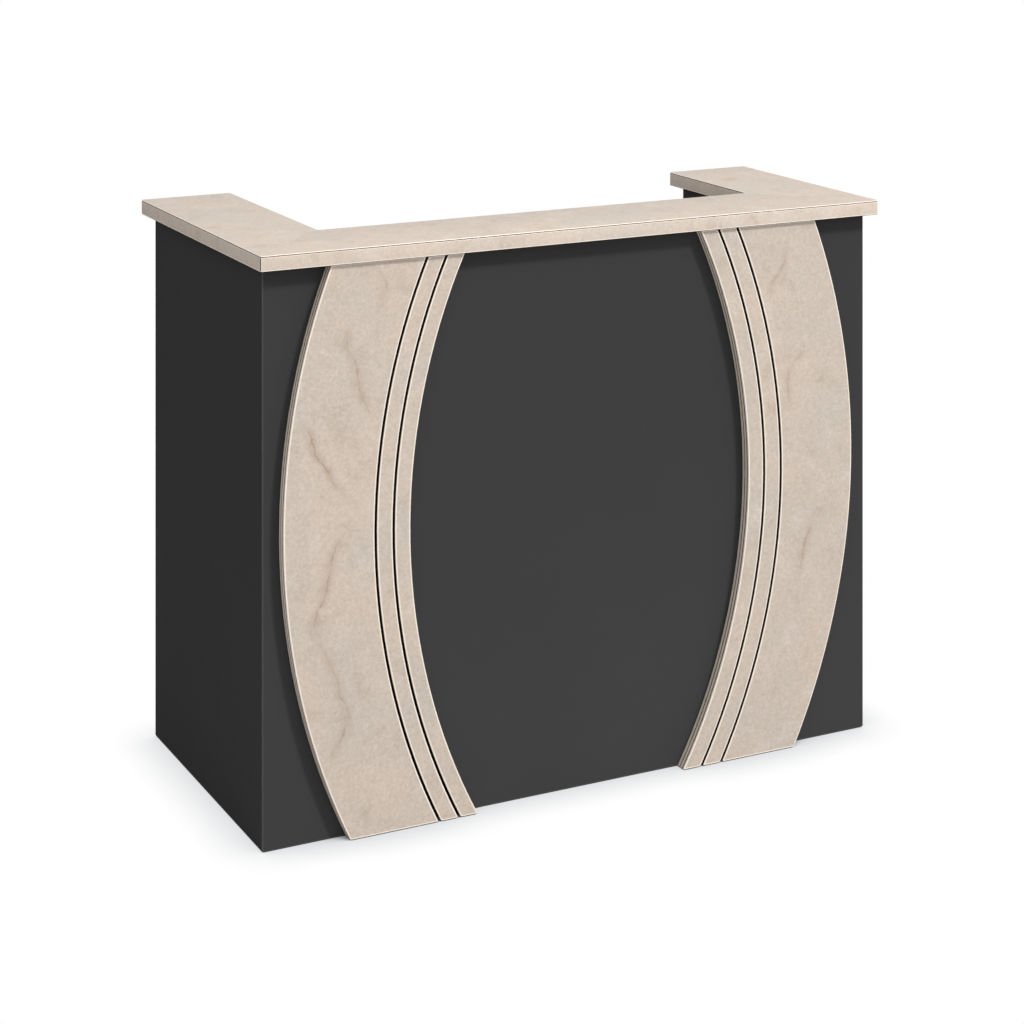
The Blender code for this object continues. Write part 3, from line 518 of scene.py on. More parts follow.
def stacked(outline, normal, rings, finishes, paint=None):
    """A solid skinned over copies of a flat outline.

    Each ring is (inset, depth below the outline's plane, finishes). Its last finish is for the
    band after it; the first ring's first is for the front cap, and the last ring's for the back.
    """
    form = bmesh.new()
    rows = []
    for inset, depth, _ in rings:
        moved = inset_outline(outline, normal, inset)
        rows.append([form.verts.new(p - normal * depth) for p in moved])
    count = len(outline)
    front = form.faces.new(rows[0])
    front.material_index = finishes.index(rings[0][2][0])
    back = form.faces.new(rows[-1][::-1])
    back.material_index = finishes.index(rings[-1][2][-1])
    for upper, lower, ring in zip(rows, rows[1:], rings):
        for i in range(count):
            j = (i + 1) % count
            face = form.faces.new((upper[i], lower[i], lower[j], upper[j]))
            face.smooth = True
            finish = ring[2][-1]
            if paint:
                face.normal_update()
                finish = paint(finish, face)
            face.material_index = finishes.index(finish)
    bmesh.ops.remove_doubles(form, verts=form.verts, dist=WELD)
    return form


def join_rows(form, rows):
    """Smooth faces between rings of vertices that follow one another."""
    for lower, upper in zip(rows, rows[1:]):
        for i in range(len(lower)):
            j = (i + 1) % len(lower)
            form.faces.new((lower[i], lower[j], upper[j], upper[i])).smooth = True


def quarter(radius, finish, first=None):
    """Rings of a rounded edge, from the front face round to just before the side."""
    rings = []
    for step in range(ROUND_STEPS):
        turn = math.pi / 2 * step / ROUND_STEPS
        place = (radius * (1 - math.sin(turn)), radius * (1 - math.cos(turn)))
        rings.append((*place, (first, finish) if first and step == 0 else (finish,)))
    return rings


def dress(node, finish, edge_finish, width=ARRIS, segments=2):
    """Keeps a CAD solid, eases its edges and gives it its finishes, with a painted highlight on
    the eased edges.
    """
    piece = NODES[node]
    mesh = piece.data
    if "custom_normal" in mesh.attributes:
        mesh.attributes.remove(mesh.attributes["custom_normal"])
    mesh.materials.clear()
    mesh.materials.append(FINISHES[finish])
    mesh.materials.append(FINISHES[edge_finish])
    joined = piece.modifiers.new("join_points", "WELD")
    joined.merge_threshold = WELD
    whole = piece.modifiers.new("whole_faces", "DECIMATE")
    whole.decimate_type = "DISSOLVE"
    whole.angle_limit = FLAT
    eased = piece.modifiers.new("eased_edges", "BEVEL")
    eased.width = width
    eased.segments = segments
    eased.limit_method = "ANGLE"
    eased.angle_limit = EASED
    # The eased edges take the edge finish: a painted highlight.
    eased.material = 1


def remake(node, finish, width, segments):
    """A finer copy of a small CAD solid: rounded edges, and round faces shaded round."""
    form = bare_solid(node)
    edges = [e for e in form.edges if len(e.link_faces) == 2 and e.calc_face_angle() > EASED]
    bmesh.ops.bevel(
        form, geom=edges, offset=width, segments=segments, affect="EDGES", clamp_overlap=True
    )
    for face in form.faces:
        face.smooth = True
    stand_for(node, form, [finish], SHARP_SMALL)


# ------------------------------------------------------------------ the top
def build_top():
    """The stone top's sheet and core, and the strip on its edge, each with its own arris."""
    up = Vector((0, 0, 1))
    outline = flat_outline("counter_top", up)
    low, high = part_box("counter_top")
    thickness = high.z - low.z
    strip_top = high.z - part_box("top_edge_strip")[1].z
    core = flat_outline("counter_top", -up)
    step = min((p - q).xy.length for p in outline for q in core)
    lap = strip_top - SHEET_CLEARANCE

    finishes = ["stone_top", "painted_highlight_arris", "seam", "underside"]
    # The sheet's rounded arris carries a painted highlight.
    rings = quarter(SHEET_ARRIS, "painted_highlight_arris", first="stone_top")
    rings += [
        (0.0, SHEET_ARRIS, ("seam",)),
        (0.0, lap, ("seam",)),
        (step, lap, ("underside",)),
        (step, thickness, ("underside",)),
    ]
    stand_for("counter_top", stacked(outline, up, rings, finishes), finishes)
    build_edge_strip(outline, up, strip_top + STRIP_TOP_SEAM, thickness)


STRIP_SLOPE = 0.3  # how square the strip's eased edges stay
CORNER_GLUE = (46, 72)  # degrees a rounded corner's face has turned from square on: its glue line
CORNER_LIGHT = (14, 46)  # and the painted highlight line beside it


def build_edge_strip(outline, up, top_depth, bottom_depth):
    """The edge strip, a ring of edging that meets in a fine glue line at every corner."""
    finishes = ["stone_edge", "painted_highlight_arris", "seam", "groove"]
    slope = STRIP_ARRIS * STRIP_SLOPE
    form = bmesh.new()
    # The upper eased edge and a line above the lower one carry a painted highlight; the lower
    # eased edge is black, a painted shade.
    section = [
        (STRIP_ARRIS, top_depth, "painted_highlight_arris"),
        (slope, top_depth + slope, "painted_highlight_arris"),
        (0.0, top_depth + STRIP_ARRIS, "stone_edge"),
        (0.0, bottom_depth - STRIP_ARRIS - STRIP_LINE, "painted_highlight_arris"),
        (0.0, bottom_depth - STRIP_ARRIS, "groove"),
        (slope, bottom_depth - slope, "groove"),
        (STRIP_ARRIS, bottom_depth, "seam"),
        (STRIP_WALL, bottom_depth, "seam"),
        (STRIP_WALL, top_depth, "seam"),
    ]
    rows = []
    for inset, depth, _ in section:
        moved = inset_outline(outline, up, inset)
        rows.append([form.verts.new(p - up * depth) for p in moved])
    count = len(outline)
    for upper, lower, ring in zip(rows, rows[1:] + rows[:1], section):
        for i in range(count):
            j = (i + 1) % count
            face = form.faces.new((upper[i], lower[i], lower[j], upper[j]))
            face.smooth = True
            face.normal_update()
            finish = ring[2]
            # Beside each corner's glue line runs a painted highlight line.
            if finish == "stone_edge":
                lean = math.degrees(math.atan2(abs(face.normal.x), abs(face.normal.y)))
                if CORNER_GLUE[0] < lean < CORNER_GLUE[1]:
                    finish = "seam"
                elif CORNER_LIGHT[0] < lean < CORNER_LIGHT[1]:
                    finish = "painted_highlight_arris"
            face.material_index = finishes.index(finish)
    stand_for("top_edge_strip", form, finishes)


# ------------------------------------------------------------------ the bowed facings
FRONT = Vector((0, -1, 0))
SIDEWAYS = 0.3  # a wall whose normal leans this far across looks at the next board


def build_facings():
    for hand, side in (("left", -1), ("right", 1)):
        for board in ("band", "outer_strip", "inner_strip"):
            build_facing_board(hand, side, board)
        build_facing_backing(hand)


def build_facing_board(hand, side, board):
    """A board of a facing: a stone sheet with a painted highlight round its rim, on two layers,
    and a seam between.
    """
    node = f"{hand}_facing_{board}"
    low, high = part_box(node)
    thickness = high.y - low.y

    def paint(finish, face):
        """Walls that look into a groove are black, and the others show their layers."""
        across = face.normal.x * side
        inner = board != "inner_strip" and across < -SIDEWAYS
        outer = board != "band" and across > SIDEWAYS
        depth = face.calc_center_median().y - low.y
        return "groove" if (inner or outer) and depth > DARK_SIDE_DEPTH else finish

    stone_finish = f"stone_{hand}"
    slope = SEAM * SEAM_SLOPE
    seam_end = FACING_SHEET + SEAM
    foot = thickness - BACKING_SEAM
    # A painted highlight line round the face, and a painted highlight on the rounded arris.
    rings = [(FACING_LINE + FACING_ARRIS, 0.0, (stone_finish, "painted_highlight_arris"))]
    rings += quarter(FACING_ARRIS, "painted_highlight_arris")
    rings += [
        (0.0, FACING_ARRIS, ("front_layer",)),
        (0.0, DARK_SIDE_DEPTH, ("front_layer",)),
        (0.0, FACING_SHEET, ("seam",)),
        (SEAM_DEPTH, FACING_SHEET + slope, ("seam",)),
        (SEAM_DEPTH, seam_end - slope, ("seam",)),
        (0.0, seam_end, ("core",)),
        (0.0, foot, ("seam",)),
        (SEAM_DEPTH, foot + BACKING_SEAM * SEAM_SLOPE, ("groove",)),
        (SEAM_DEPTH, thickness, ("groove",)),
    ]
    finishes = [stone_finish, "painted_highlight_arris", "front_layer", "seam", "core", "groove"]
    form = stacked(flat_outline(node, FRONT), FRONT, rings, finishes, paint)
    stand_for(node, form, finishes)


def build_facing_backing(hand):
    """The board behind a facing: black where it shows between the boards, light at its sides."""
    node = f"{hand}_facing_backing"
    low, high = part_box(node)
    thickness = high.y - low.y
    rings = [
        (BACKING_ARRIS, 0.0, ("groove", "backing")),
        (0.0, BACKING_ARRIS, ("backing",)),
        # The backing's foot is black, a painted shade line where it meets the front panel.
        (0.0, thickness - BACKING_FOOT, ("groove",)),
        (BACKING_FOOT, thickness, ("groove",)),
    ]
    finishes = ["groove", "backing"]
    form = stacked(flat_outline(node, FRONT), FRONT, rings, finishes)
    stand_for(node, form, finishes)


# ------------------------------------------------------------------ boards
OUTER_PANELS = ("front_panel", "left_side_panel", "right_side_panel")
BOARDS = (
    "left_wing_inner_panel", "left_wing_end_panel", "left_wing_base",
    "right_wing_inner_panel", "right_wing_end_panel", "right_wing_base",
    "upstand_panel", "base_panel", "centre_divider", "drawer_deck",
    "open_bay_shelf", "cupboard_shelf", "drawer_front", "cupboard_door",
)
DRAWER_BOARDS = ("drawer_left_side", "drawer_right_side", "drawer_back", "drawer_bottom")


def dress_boards():
    for node in OUTER_PANELS:
        dress(node, "charcoal", "charcoal_edge_painted_highlight", BODY_ARRIS)
    for node in BOARDS:
        dress(node, "charcoal", "charcoal_edge_painted_highlight")
    for node in DRAWER_BOARDS:
        dress(node, "drawer_board", "drawer_board_edge_painted_highlight", DRAWER_ARRIS)
    dress("work_surface", "stone_top", "painted_highlight_arris", WORK_SURFACE_ARRIS, 3)


# ------------------------------------------------------------------ hardware
# What a small piece is made of, how far its edges are rounded, and in how many flats.
RUNNER_MEMBER = ("zinc", 0.0005, 3)
SHELF_PIN = ("nickel_x", 0.0004, 3)
FOOT = ("plastic", 0.0005, 2)
HINGE_LEAF = ("nickel_z", 0.0002, 1)
SMALL_PIECES = {
    "lock_barrel": ("nickel_x", 0.0002, 2),
    "lock_cam": ("nickel_x", 0.0002, 1),
    "lock_keeper": ("zinc", 0.0003, 2),
    "magnetic_catch": ("plastic", 0.0010, 3),
    "catch_strike": ("zinc", 0.0003, 2),
    "grommet_ring": ("plastic", 0.0004, 2),
    "grommet_cap": ("plastic", 0.0003, 2),
}


def build_hardware():
    for node in ("drawer_handle", "door_handle"):
        build_handle(node)
    for hand in ("left", "right"):
        for member in ("cabinet", "middle", "drawer"):
            remake(f"{hand}_runner_{member}_member", *RUNNER_MEMBER)
        for end in ("front", "back"):
            remake(f"{hand}_{end}_shelf_pin", *SHELF_PIN)
            remake(f"{hand}_{end}_foot", *FOOT)
    for leaf in ("frame", "door"):
        for level in ("upper", "lower"):
            remake(f"{level}_hinge_{leaf}_leaf", *HINGE_LEAF)
    for node, looks in SMALL_PIECES.items():
        remake(node, *looks)


HANDLE_BEND = 0.012  # radius of the bar's bends
FLANGE_RADIUS = 0.0085
FLANGE_RIM = 0.0012  # height of the flange's straight rim
FLANGE_CHAMFER = 0.0006
FLARE_HEIGHT = 0.004  # of the cone between the flange and the bar
FLARE_SPREAD = 0.0018  # how much wider than the bar the cone starts
FLARE_STEPS = 4
BEND_STEPS = 12
HANDLE_SIDES = 28


def handle_path(length, reach, bar):
    """Half of a handle's bow as (place along and out, direction, radius), from its flange on."""
    out = Vector((0, 1))
    foot = -length / 2
    chamfer_top = FLANGE_RIM + FLANGE_CHAMFER
    path = [
        (Vector((foot, 0.0)), out, FLANGE_RADIUS),
        (Vector((foot, FLANGE_RIM)), out, FLANGE_RADIUS),
        (Vector((foot, chamfer_top)), out, FLANGE_RADIUS - FLANGE_CHAMFER),
    ]
    for step in range(1, FLARE_STEPS + 1):
        share = step / FLARE_STEPS
        radius = bar + FLARE_SPREAD * (1 - math.sin(math.pi / 2 * share))
        path.append((Vector((foot, chamfer_top + FLARE_HEIGHT * share)), out, radius))
    centre = Vector((foot + HANDLE_BEND, reach - HANDLE_BEND))
    for step in range(BEND_STEPS + 1):
        turn = math.pi / 2 * step / BEND_STEPS
        place = centre + Vector((-math.cos(turn), math.sin(turn))) * HANDLE_BEND
        path.append((place, Vector((math.sin(turn), math.cos(turn))), bar))
    return path


def build_handle(node):
    """A round bar bent into a bow, whose feet flare into small flanges on the front."""
    low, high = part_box(node)
    upright = high.z - low.z > high.x - low.x
    bar = (high.x - low.x if upright else high.z - low.z) / 2
    reach = high.y - low.y - bar
    length = (high.z - low.z if upright else high.x - low.x) - 2 * bar
    foot = Vector(((low.x + high.x) / 2, low.y, (low.z + high.z) / 2))

    path = handle_path(length, reach, bar)
    path += [(Vector((-p.x, p.y)), Vector((d.x, -d.y)), radius) for p, d, radius in reversed(path)]

    form = bmesh.new()
    rows = []
    for place, ahead, radius in path:
        row = []
        for i in range(HANDLE_SIDES):
            turn = 2 * math.pi * i / HANDLE_SIDES
            across = radius * math.sin(turn)
            along, rise = place + Vector((-ahead.y, ahead.x)) * radius * math.cos(turn)
            offset = (across, rise, along) if upright else (along, rise, -across)
            row.append(form.verts.new(foot + Vector(offset)))
        rows.append(row)
    join_rows(form, rows)
    form.faces.new(rows[0])
    form.faces.new(rows[-1])
    bmesh.ops.recalc_face_normals(form, faces=form.faces)
    finish = "nickel_z" if upright else "nickel_x"
    stand_for(node, form, [finish])


# ------------------------------------------------------------------ fastenings
CROSS_REACH = 0.45  # of a screw head's radius
CROSS_WIDTH = CROSS_REACH * math.tan(math.radians(15))
SCREW_SIDES = 48
ROUND_SIDES = 32
WASHER_THICKNESS = 0.0008
WASHER_ARRIS = 0.0003

# Screw heads as (radius, height above the face they sit on).
HINGE_SCREW = (0.0030, 0.00015)
CABINET_MEMBER_SCREW = (0.0032, 0.0007)
DRAWER_MEMBER_SCREW = (0.0032, 0.0014)
HANDLE_BOLT = (0.0036, 0.0022)
HANDLE_WASHER = 0.0050
CATCH_SCREW = (0.0025, 0.0012)
STRIKE_SCREW = (0.0022, 0.0001)
KEEPER_SCREW = (0.0026, 0.0012)

HINGE_GAUGE = 0.001
HINGE_LEAF_GAP = 0.0004  # between the two closed leaves
HINGE_SCREW_PITCH = 0.020
HINGE_SCREW_DEPTHS = (0.0075, 0.013, 0.0075)  # from the leaf's edge, lowest screw first

RUNNER_GAUGE = 0.0012
RUNNER_SCREW_PLACES = (0.1, 0.5, 0.9)  # shares of a member's length
BALL_RADIUS = 0.0008
BALL_PITCH = 0.0125
BALLS_IN_ROW = 13
CAGE_WIDTH = 0.0030
CAGE_GAUGE = 0.0005
CAGE_ARRIS = 0.0001

THREAD_ROOT = 0.0048  # radius; the stem's own is a little larger
THREAD_CREST = 0.0053
THREAD_PITCH = 0.0015
THREAD_SIDES = 24
THREAD_ENDS = (0.012, 0.002)  # above the foot's floor face, and below its stem's top

POLE_SIZE = (0.030, 0.0010, 0.0014)
POLE_PROUD = 0.00015
POLE_ARRIS = 0.0001
POLE_INSET = 0.0038  # from the catch's lower and upper face
CATCH_SCREW_INSET = 0.0045
CATCH_SCREW_SETBACK = 0.002  # behind the middle of the catch
STRIKE_SCREW_INSET = 0.0035

LOCK_NUT_HALF_FLATS = 0.0099
LOCK_NUT_BORE = 0.0093
LOCK_NUT_THICKNESS = 0.0035
LOCK_NUT_CORNER = 1.06  # a chamfered corner's reach, in half flats
LOCK_NUT_SIDES = 72
KEEPER_GAUGE = 0.002
KEEPER_SCREW_INSET = 0.006
KEEPER_SCREW_SETBACK = 0.0045


def add_round(form, place, out, profile, sides=ROUND_SIDES, bored=False):
    """Adds a turned solid, from a profile of (radius, height along out).

    The profile runs from the foot to the top, and on down the bore if there is one.
    """
    out = Vector(out).normalized()
    across = out.orthogonal().normalized()
    up = out.cross(across)
    rows = []
    for radius, height in profile:
        row = []
        for i in range(sides):
            turn = 2 * math.pi * i / sides
            reach = radius(turn) if callable(radius) else radius
            spoke = (across * math.cos(turn) + up * math.sin(turn)) * reach
            row.append(form.verts.new(Vector(place) + out * height + spoke))
        rows.append(row)
    if bored:
        join_rows(form, rows + rows[:1])
        return
    join_rows(form, rows)
    form.faces.new(rows[0][::-1])
    form.faces.new(rows[-1])


def add_screw(form, place, out, radius, height):
    """A screw head with a cross recess, domed if it is tall enough."""

    def cross(turn):
        cosine, sine = abs(math.cos(turn)) + 1e-9, abs(math.sin(turn)) + 1e-9
        reach, width = radius * CROSS_REACH, radius * CROSS_WIDTH
        return max(min(reach / cosine, width / sine), min(width / cosine, reach / sine))

    profile = [
        (radius, 0.0),
        (radius, height * 0.4),
        (radius * 0.95, height * 0.7),
        (radius * 0.80, height * 0.93),
        (radius * 0.55, height),
        (cross, height),
        (cross, height * 0.2),
    ]
    add_round(form, place, out, profile, SCREW_SIDES)


def add_screws(name, node, places, out, head, washer=0.0):
    """One piece that holds the screws which fasten a node."""
    form = bmesh.new()
    out = Vector(out)
    for place in places:
        place = Vector(place)
        if washer:
            rings = [
                (washer, 0.0),
                (washer, WASHER_THICKNESS * 0.7),
                (washer - WASHER_ARRIS, WASHER_THICKNESS),
            ]
            add_round(form, place, out, rings)
            place += out * WASHER_THICKNESS
        add_screw(form, place, out, *head)
    add_piece(name, form, node, ["screw"], SHARP_SCREW)


def build_fastenings():
    for level in ("upper", "lower"):
        fasten_hinge(level)
    for hand, inward in (("left", 1), ("right", -1)):
        fasten_runner(hand, inward)
        build_ball_rows(hand)
    for hand in ("left", "right"):
        for end in ("front", "back"):
            build_thread(f"{hand}_{end}_foot")
    fasten_handles()
    fasten_catch()
    fasten_lock()


def fasten_hinge(level):
    """Three flush screws in each leaf, level with one another."""
    low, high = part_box(f"{level}_hinge_frame_leaf")
    middle = (low.z + high.z) / 2
    heights = (middle - HINGE_SCREW_PITCH, middle, middle + HINGE_SCREW_PITCH)
    frame_face = high.x - HINGE_GAUGE
    for leaf, x, way in (("frame", frame_face, -1), ("door", frame_face - HINGE_LEAF_GAP, 1)):
        places = [(x, low.y + depth, z) for depth, z in zip(HINGE_SCREW_DEPTHS, heights)]
        node = f"{level}_hinge_{leaf}_leaf"
        add_screws(f"{node}_screws", node, places, (way, 0, 0), HINGE_SCREW)


def fasten_runner(hand, inward):
    """Screws through the webs of the fixed member and of the drawer's member."""
    for member, way, head in (
        ("cabinet", inward, CABINET_MEMBER_SCREW),
        ("drawer", -inward, DRAWER_MEMBER_SCREW),
    ):
        node = f"{hand}_runner_{member}_member"
        low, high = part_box(node)
        x = low.x + RUNNER_GAUGE if way > 0 else high.x - RUNNER_GAUGE
        middle = (low.z + high.z) / 2
        length = high.y - low.y
        places = [(x, low.y + length * share, middle) for share in RUNNER_SCREW_PLACES]
        add_screws(f"{node}_screws", node, places, (way, 0, 0), head)


def build_ball_rows(hand):
    """Balls in their cages, above and below the middle member of a runner."""
    node = f"{hand}_runner_middle_member"
    low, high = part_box(node)
    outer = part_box(f"{hand}_runner_cabinet_member")
    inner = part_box(f"{hand}_runner_drawer_member")
    x = (max(low.x, inner[0].x) + min(high.x, inner[1].x)) / 2
    middle = (low.y + high.y) / 2
    start = middle - BALL_PITCH * (BALLS_IN_ROW - 1) / 2
    form = bmesh.new()
    for end, way in ((0, -1), (1, 1)):
        flange = (low, high)[end].z
        for member in (outer, inner):
            z = (member[end].z - way * RUNNER_GAUGE + flange) / 2
            for i in range(BALLS_IN_ROW):
                place = Matrix.Translation((x, start + i * BALL_PITCH, z))
                bmesh.ops.create_uvsphere(
                    form, u_segments=14, v_segments=8, radius=BALL_RADIUS, matrix=place
                )
            size = (CAGE_WIDTH, BALL_PITCH * BALLS_IN_ROW, CAGE_GAUGE)
            cage = add_block(form, (x, middle, z), size)
            rim = list({e for v in cage for e in v.link_edges})
            bmesh.ops.bevel(form, geom=rim, offset=CAGE_ARRIS, segments=1, affect="EDGES")
    for face in form.faces:
        face.smooth = True
    add_piece(f"{hand}_runner_ball_rows", form, node, ["zinc"])


def add_block(form, middle, size):
    block = bmesh.ops.create_cube(form, size=1.0)["verts"]
    bmesh.ops.scale(form, vec=size, verts=block)
    bmesh.ops.translate(form, vec=middle, verts=block)
    return block


def build_thread(node):
    """The thread of a levelling foot: a ridge that winds up its stem."""
    low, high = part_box(node)
    middle = (low + high) / 2
    start, end = low.z + THREAD_ENDS[0], high.z - THREAD_ENDS[1]
    section = (
        (THREAD_ROOT, -THREAD_PITCH * 0.45),
        (THREAD_CREST, -THREAD_PITCH * 0.08),
        (THREAD_CREST, THREAD_PITCH * 0.08),
        (THREAD_ROOT, THREAD_PITCH * 0.45),
    )
    form = bmesh.new()
    rows = []
    for step in range(int((end - start) / THREAD_PITCH * THREAD_SIDES) + 1):
        turn = 2 * math.pi * step / THREAD_SIDES
        spoke = Vector((math.cos(turn), math.sin(turn), 0))
        base = Vector((middle.x, middle.y, start + THREAD_PITCH * step / THREAD_SIDES))
        rows.append([form.verts.new(base + spoke * r + Vector((0, 0, dz))) for r, dz in section])
    join_rows(form, rows)
    form.faces.new(rows[0])
    form.faces.new(rows[-1][::-1])
    bmesh.ops.recalc_face_normals(form, faces=form.faces)
    add_piece(f"{node}_thread", form, node, ["plastic"], SHARP_SMALL)


def fasten_handles():
    """Bolts through the fronts into the feet of the handles."""
    for front, handle in (("drawer_front", "drawer_handle"), ("cupboard_door", "door_handle")):
        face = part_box(front)[0].y
        low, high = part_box(handle)
        middle = (low + high) / 2
        radius = min(high.x - low.x, high.z - low.z) / 2
        if high.z - low.z > high.x - low.x:
            places = [(middle.x, face, z) for z in (low.z + radius, high.z - radius)]
        else:
            places = [(x, face, middle.z) for x in (low.x + radius, high.x - radius)]
        add_screws(f"{handle}_bolts", handle, places, (0, -1, 0), HANDLE_BOLT, HANDLE_WASHER)


def fasten_catch():
    """The catch's two steel poles, and the screws of the catch and of its strike."""
    node = "magnetic_catch"
    low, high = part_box(node)
    middle = (low + high) / 2
    form = bmesh.new()
    for z in (low.z + POLE_INSET, high.z - POLE_INSET):
        add_block(form, (middle.x, high.y + POLE_PROUD - POLE_SIZE[1] / 2, z), POLE_SIZE)
    bmesh.ops.bevel(form, geom=form.edges[:], offset=POLE_ARRIS, segments=2, affect="EDGES")
    add_piece(f"{node}_poles", form, node, ["zinc"], SHARP_SMALL)
    ends = (low.x + CATCH_SCREW_INSET, high.x - CATCH_SCREW_INSET)
    places = [(x, middle.y - CATCH_SCREW_SETBACK, low.z) for x in ends]
    add_screws(f"{node}_screws", node, places, (0, 0, -1), CATCH_SCREW)

    node = "catch_strike"
    low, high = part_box(node)
    ends = (low.x + STRIKE_SCREW_INSET, high.x - STRIKE_SCREW_INSET)
    places = [(x, low.y, (low.z + high.z) / 2) for x in ends]
    add_screws(f"{node}_screws", node, places, (0, -1, 0), STRIKE_SCREW)


def fasten_lock():
    """The hexagonal nut behind the lock, and the screws of its keeper."""
    low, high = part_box("lock_barrel")
    axis = (low + high) / 2
    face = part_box("drawer_front")[0].y

    def hexagon(turn):
        return LOCK_NUT_HALF_FLATS / math.cos((turn + math.pi / 6) % (math.pi / 3) - math.pi / 6)

    def chamfered(turn):
        return min(hexagon(turn), LOCK_NUT_HALF_FLATS * LOCK_NUT_CORNER)

    form = bmesh.new()
    rings = [
        (hexagon, 0.0),
        (hexagon, LOCK_NUT_THICKNESS * 0.8),
        (chamfered, LOCK_NUT_THICKNESS),
        (LOCK_NUT_BORE, LOCK_NUT_THICKNESS),
        (LOCK_NUT_BORE, 0.0),
    ]
    add_round(form, (axis.x, face, axis.z), (0, -1, 0), rings, LOCK_NUT_SIDES, bored=True)
    add_piece("lock_nut", form, "lock_barrel", ["nickel_x"], SHARP_NUT)

    node = "lock_keeper"
    low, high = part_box(node)
    ends = (low.x + KEEPER_SCREW_INSET, high.x - KEEPER_SCREW_INSET)
    places = [(x, high.y - KEEPER_SCREW_SETBACK, high.z - KEEPER_GAUGE) for x in ends]
    add_screws(f"{node}_screws", node, places, (0, 0, -1), KEEPER_SCREW)


# ------------------------------------------------------------------ studio
FLOOR_SIZE = 60.0
CONTACT_SHADOW_REACH = 0.10
CONTACT_SHADOW_TONE = rgb(221, 222, 224)
CONTACT_SHADOW_OPENNESS = (0.45, 0.99)  # how open the floor is where the shadow is full, and ends
UNDERSIDE_TONE = (0.02, 0.02, 0.02, 1)
UNDERSIDE_OPENNESS = (0.12, 0.40)  # the same, for the dark right under the body
KEY_DIRECTION = Vector((0.60, -1.0, 1.12))  # from the counter towards the key light
KEY_DISTANCE = 14.0
KEY_SIZE = 2.0
KEY_POWER = 1130.0
KEY_COLOUR = (1.0, 0.985, 0.965)
SKY_COLOUR = (1.0, 0.99, 0.98, 1)
SKY_TOP = 0.82
SKY_SIDE = 0.42
SKY_FRONT = 0.50  # added to the light from the customer's side
MIRRORED_SKY_TOP = 1.1  # the studio as it shows in reflections
MIRRORED_SKY_SIDE = 0.20
FLOOR_BOUNCE = 0.62
FLOOR_MIRRORED = 0.03

CAMERA_PLACE = (-2.1283, -4.2350, 1.8384)
CAMERA_TURN = -26.74  # degrees from straight ahead, to the customer's left
CAMERA_LENS = 84.18
CAMERA_SHIFT = -0.6937
LEVEL = 0.0005  # radians off level within which the camera counts as level


def build_floor():
    """A wide white floor that shows only a soft contact shadow round the counter."""
    form = bmesh.new()
    bmesh.ops.create_grid(form, x_segments=1, y_segments=1, size=FLOOR_SIZE / 2)
    mesh = bpy.data.meshes.new("studio_floor")
    form.to_mesh(mesh)
    form.free()
    floor = bpy.data.objects.new("studio_floor", mesh)
    bpy.context.scene.collection.objects.link(floor)

    r = Recipe("studio_floor")
    near = r.add("ShaderNodeAmbientOcclusion", {"Distance": CONTACT_SHADOW_REACH}, samples=16)
    openness = near.outputs["AO"]
    tone = r.mix(r.spread(openness, *CONTACT_SHADOW_OPENNESS), CONTACT_SHADOW_TONE, (1, 1, 1, 1))
    tone = r.mix(r.spread(openness, *UNDERSIDE_OPENNESS), UNDERSIDE_TONE, tone)
    seen = r.add("ShaderNodeEmission", {"Color": tone}).outputs[0]
    path = r.add("ShaderNodeLightPath").outputs
    bounce = r.spread(path["Is Glossy Ray"], 0.0, 1.0, FLOOR_BOUNCE, FLOOR_MIRRORED)
    r.finish(r.mix(bounce, (0, 0, 0, 1), (1, 1, 1, 1)), 1.0, Specular_IOR_Level=0.0)
    shaders = {0: path["Is Camera Ray"], 1: r.shader.outputs[0], 2: seen}
    output = next(n for n in r.nodes if n.type == "OUTPUT_MATERIAL")
    r.put(output.inputs["Surface"], r.add("ShaderNodeMixShader", shaders).outputs[0])
    mesh.materials.append(r.material)


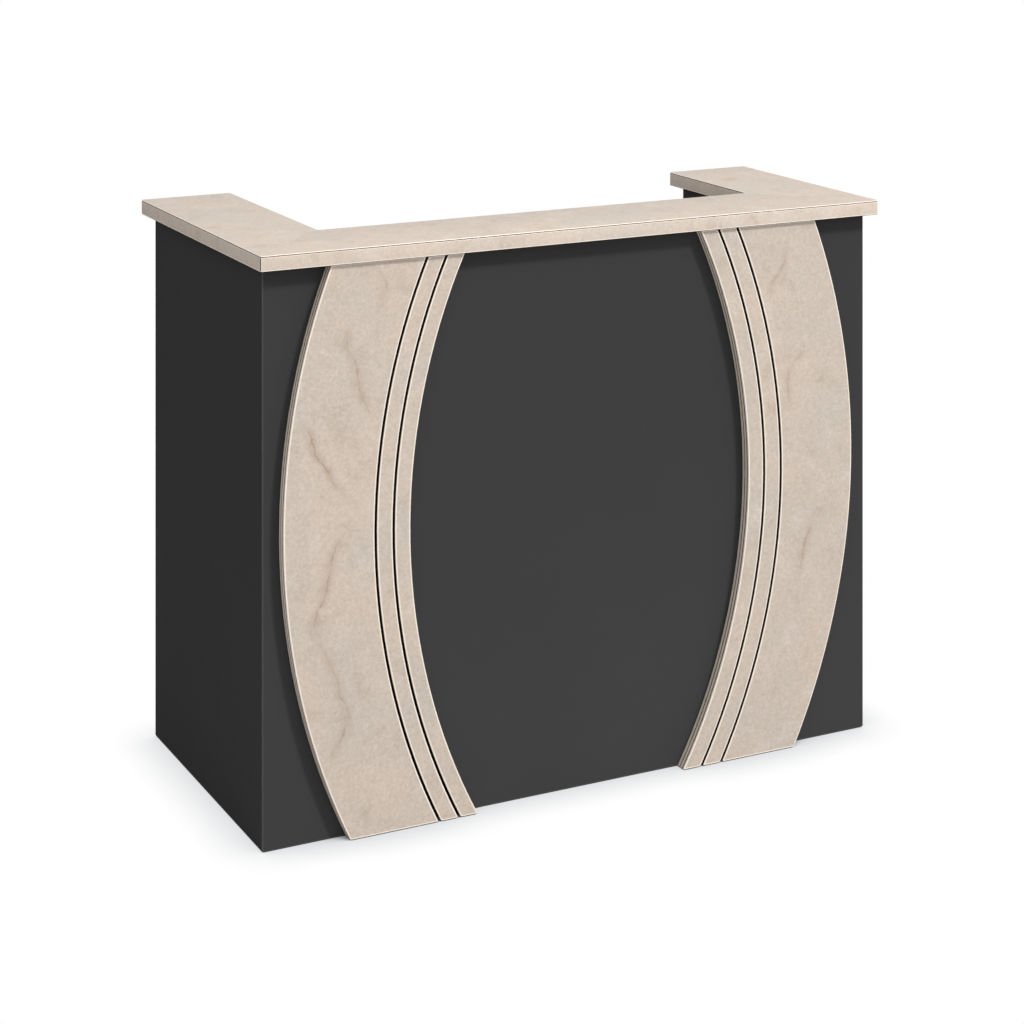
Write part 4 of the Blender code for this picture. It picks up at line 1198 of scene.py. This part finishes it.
def build_world():
    """White to the camera, a soft studio to the surfaces it lights, and a dim one in mirrors."""
    world = bpy.data.worlds.new("studio")
    bpy.context.scene.world = world
    tree = Tree(world)
    tree.nodes.clear()
    _, y, z = tree.split(tree.add("ShaderNodeTexCoord").outputs["Generated"])
    path = tree.add("ShaderNodeLightPath").outputs

    def background(colour, strength):
        inputs = {"Color": colour, "Strength": strength}
        return tree.add("ShaderNodeBackground", inputs).outputs[0]

    def studio(side, top, front):
        """A studio that brightens up to its ceiling, and towards the customer's side."""
        rising, ahead = tree.spread(z, 0, 1, side, top), tree.spread(y, -1, 0, front, 0)
        return background(SKY_COLOUR, tree.calc("ADD", rising, ahead))

    def choose(ray, otherwise, then):
        return tree.add("ShaderNodeMixShader", {0: path[ray], 1: otherwise, 2: then}).outputs[0]

    mirrored = studio(MIRRORED_SKY_SIDE, MIRRORED_SKY_TOP, 0)
    lit = choose("Is Glossy Ray", studio(SKY_SIDE, SKY_TOP, SKY_FRONT), mirrored)
    seen = choose("Is Camera Ray", lit, background((1, 1, 1, 1), 1))
    tree.add("ShaderNodeOutputWorld", {"Surface": seen})


def build_key_light():
    """A round soft light from the front, above the right end of the counter."""
    light = bpy.data.lights.new("key", "AREA")
    light.shape = "DISK"
    light.size = KEY_SIZE
    light.energy = KEY_POWER
    light.color = KEY_COLOUR
    key = bpy.data.objects.new("key", light)
    bpy.context.scene.collection.objects.link(key)
    middle = (cad_box[0] + cad_box[1]) / 2
    toward = KEY_DIRECTION.normalized()
    key.location = middle + toward * KEY_DISTANCE
    key.rotation_mode = "QUATERNION"
    key.rotation_quaternion = (-toward).to_track_quat("-Z", "Y")


def build_camera():
    """A level camera, with the lens shifted down to keep the counter's uprights parallel."""
    data = bpy.data.cameras.new("camera")
    data.lens = CAMERA_LENS
    camera = bpy.data.objects.new("camera", data)
    bpy.context.scene.collection.objects.link(camera)
    camera.location = CAMERA_PLACE
    camera.rotation_euler = (math.pi / 2, 0, math.radians(CAMERA_TURN))
    bpy.context.scene.camera = camera

    # The shift is for the level view only: a camera that is tilted points at the counter.
    driver = data.driver_add("shift_y").driver
    tilt = driver.variables.new()
    tilt.name = "tilt"
    tilt.type = "TRANSFORMS"
    tilt.targets[0].id = camera
    tilt.targets[0].transform_type = "ROT_X"
    tilt.targets[0].transform_space = "WORLD_SPACE"
    driver.type = "SCRIPTED"
    driver.expression = f"{CAMERA_SHIFT} if abs(tilt - {math.pi / 2:.6f}) < {LEVEL} else 0.0"


def set_colours():
    """White stays white, and colours are shown as they are."""
    bpy.context.scene.view_settings.view_transform = "Standard"
    bpy.context.scene.view_settings.look = "None"


build_top()
build_facings()
dress_boards()
build_hardware()
build_fastenings()
build_floor()
build_world()
build_key_light()
build_camera()
set_colours()
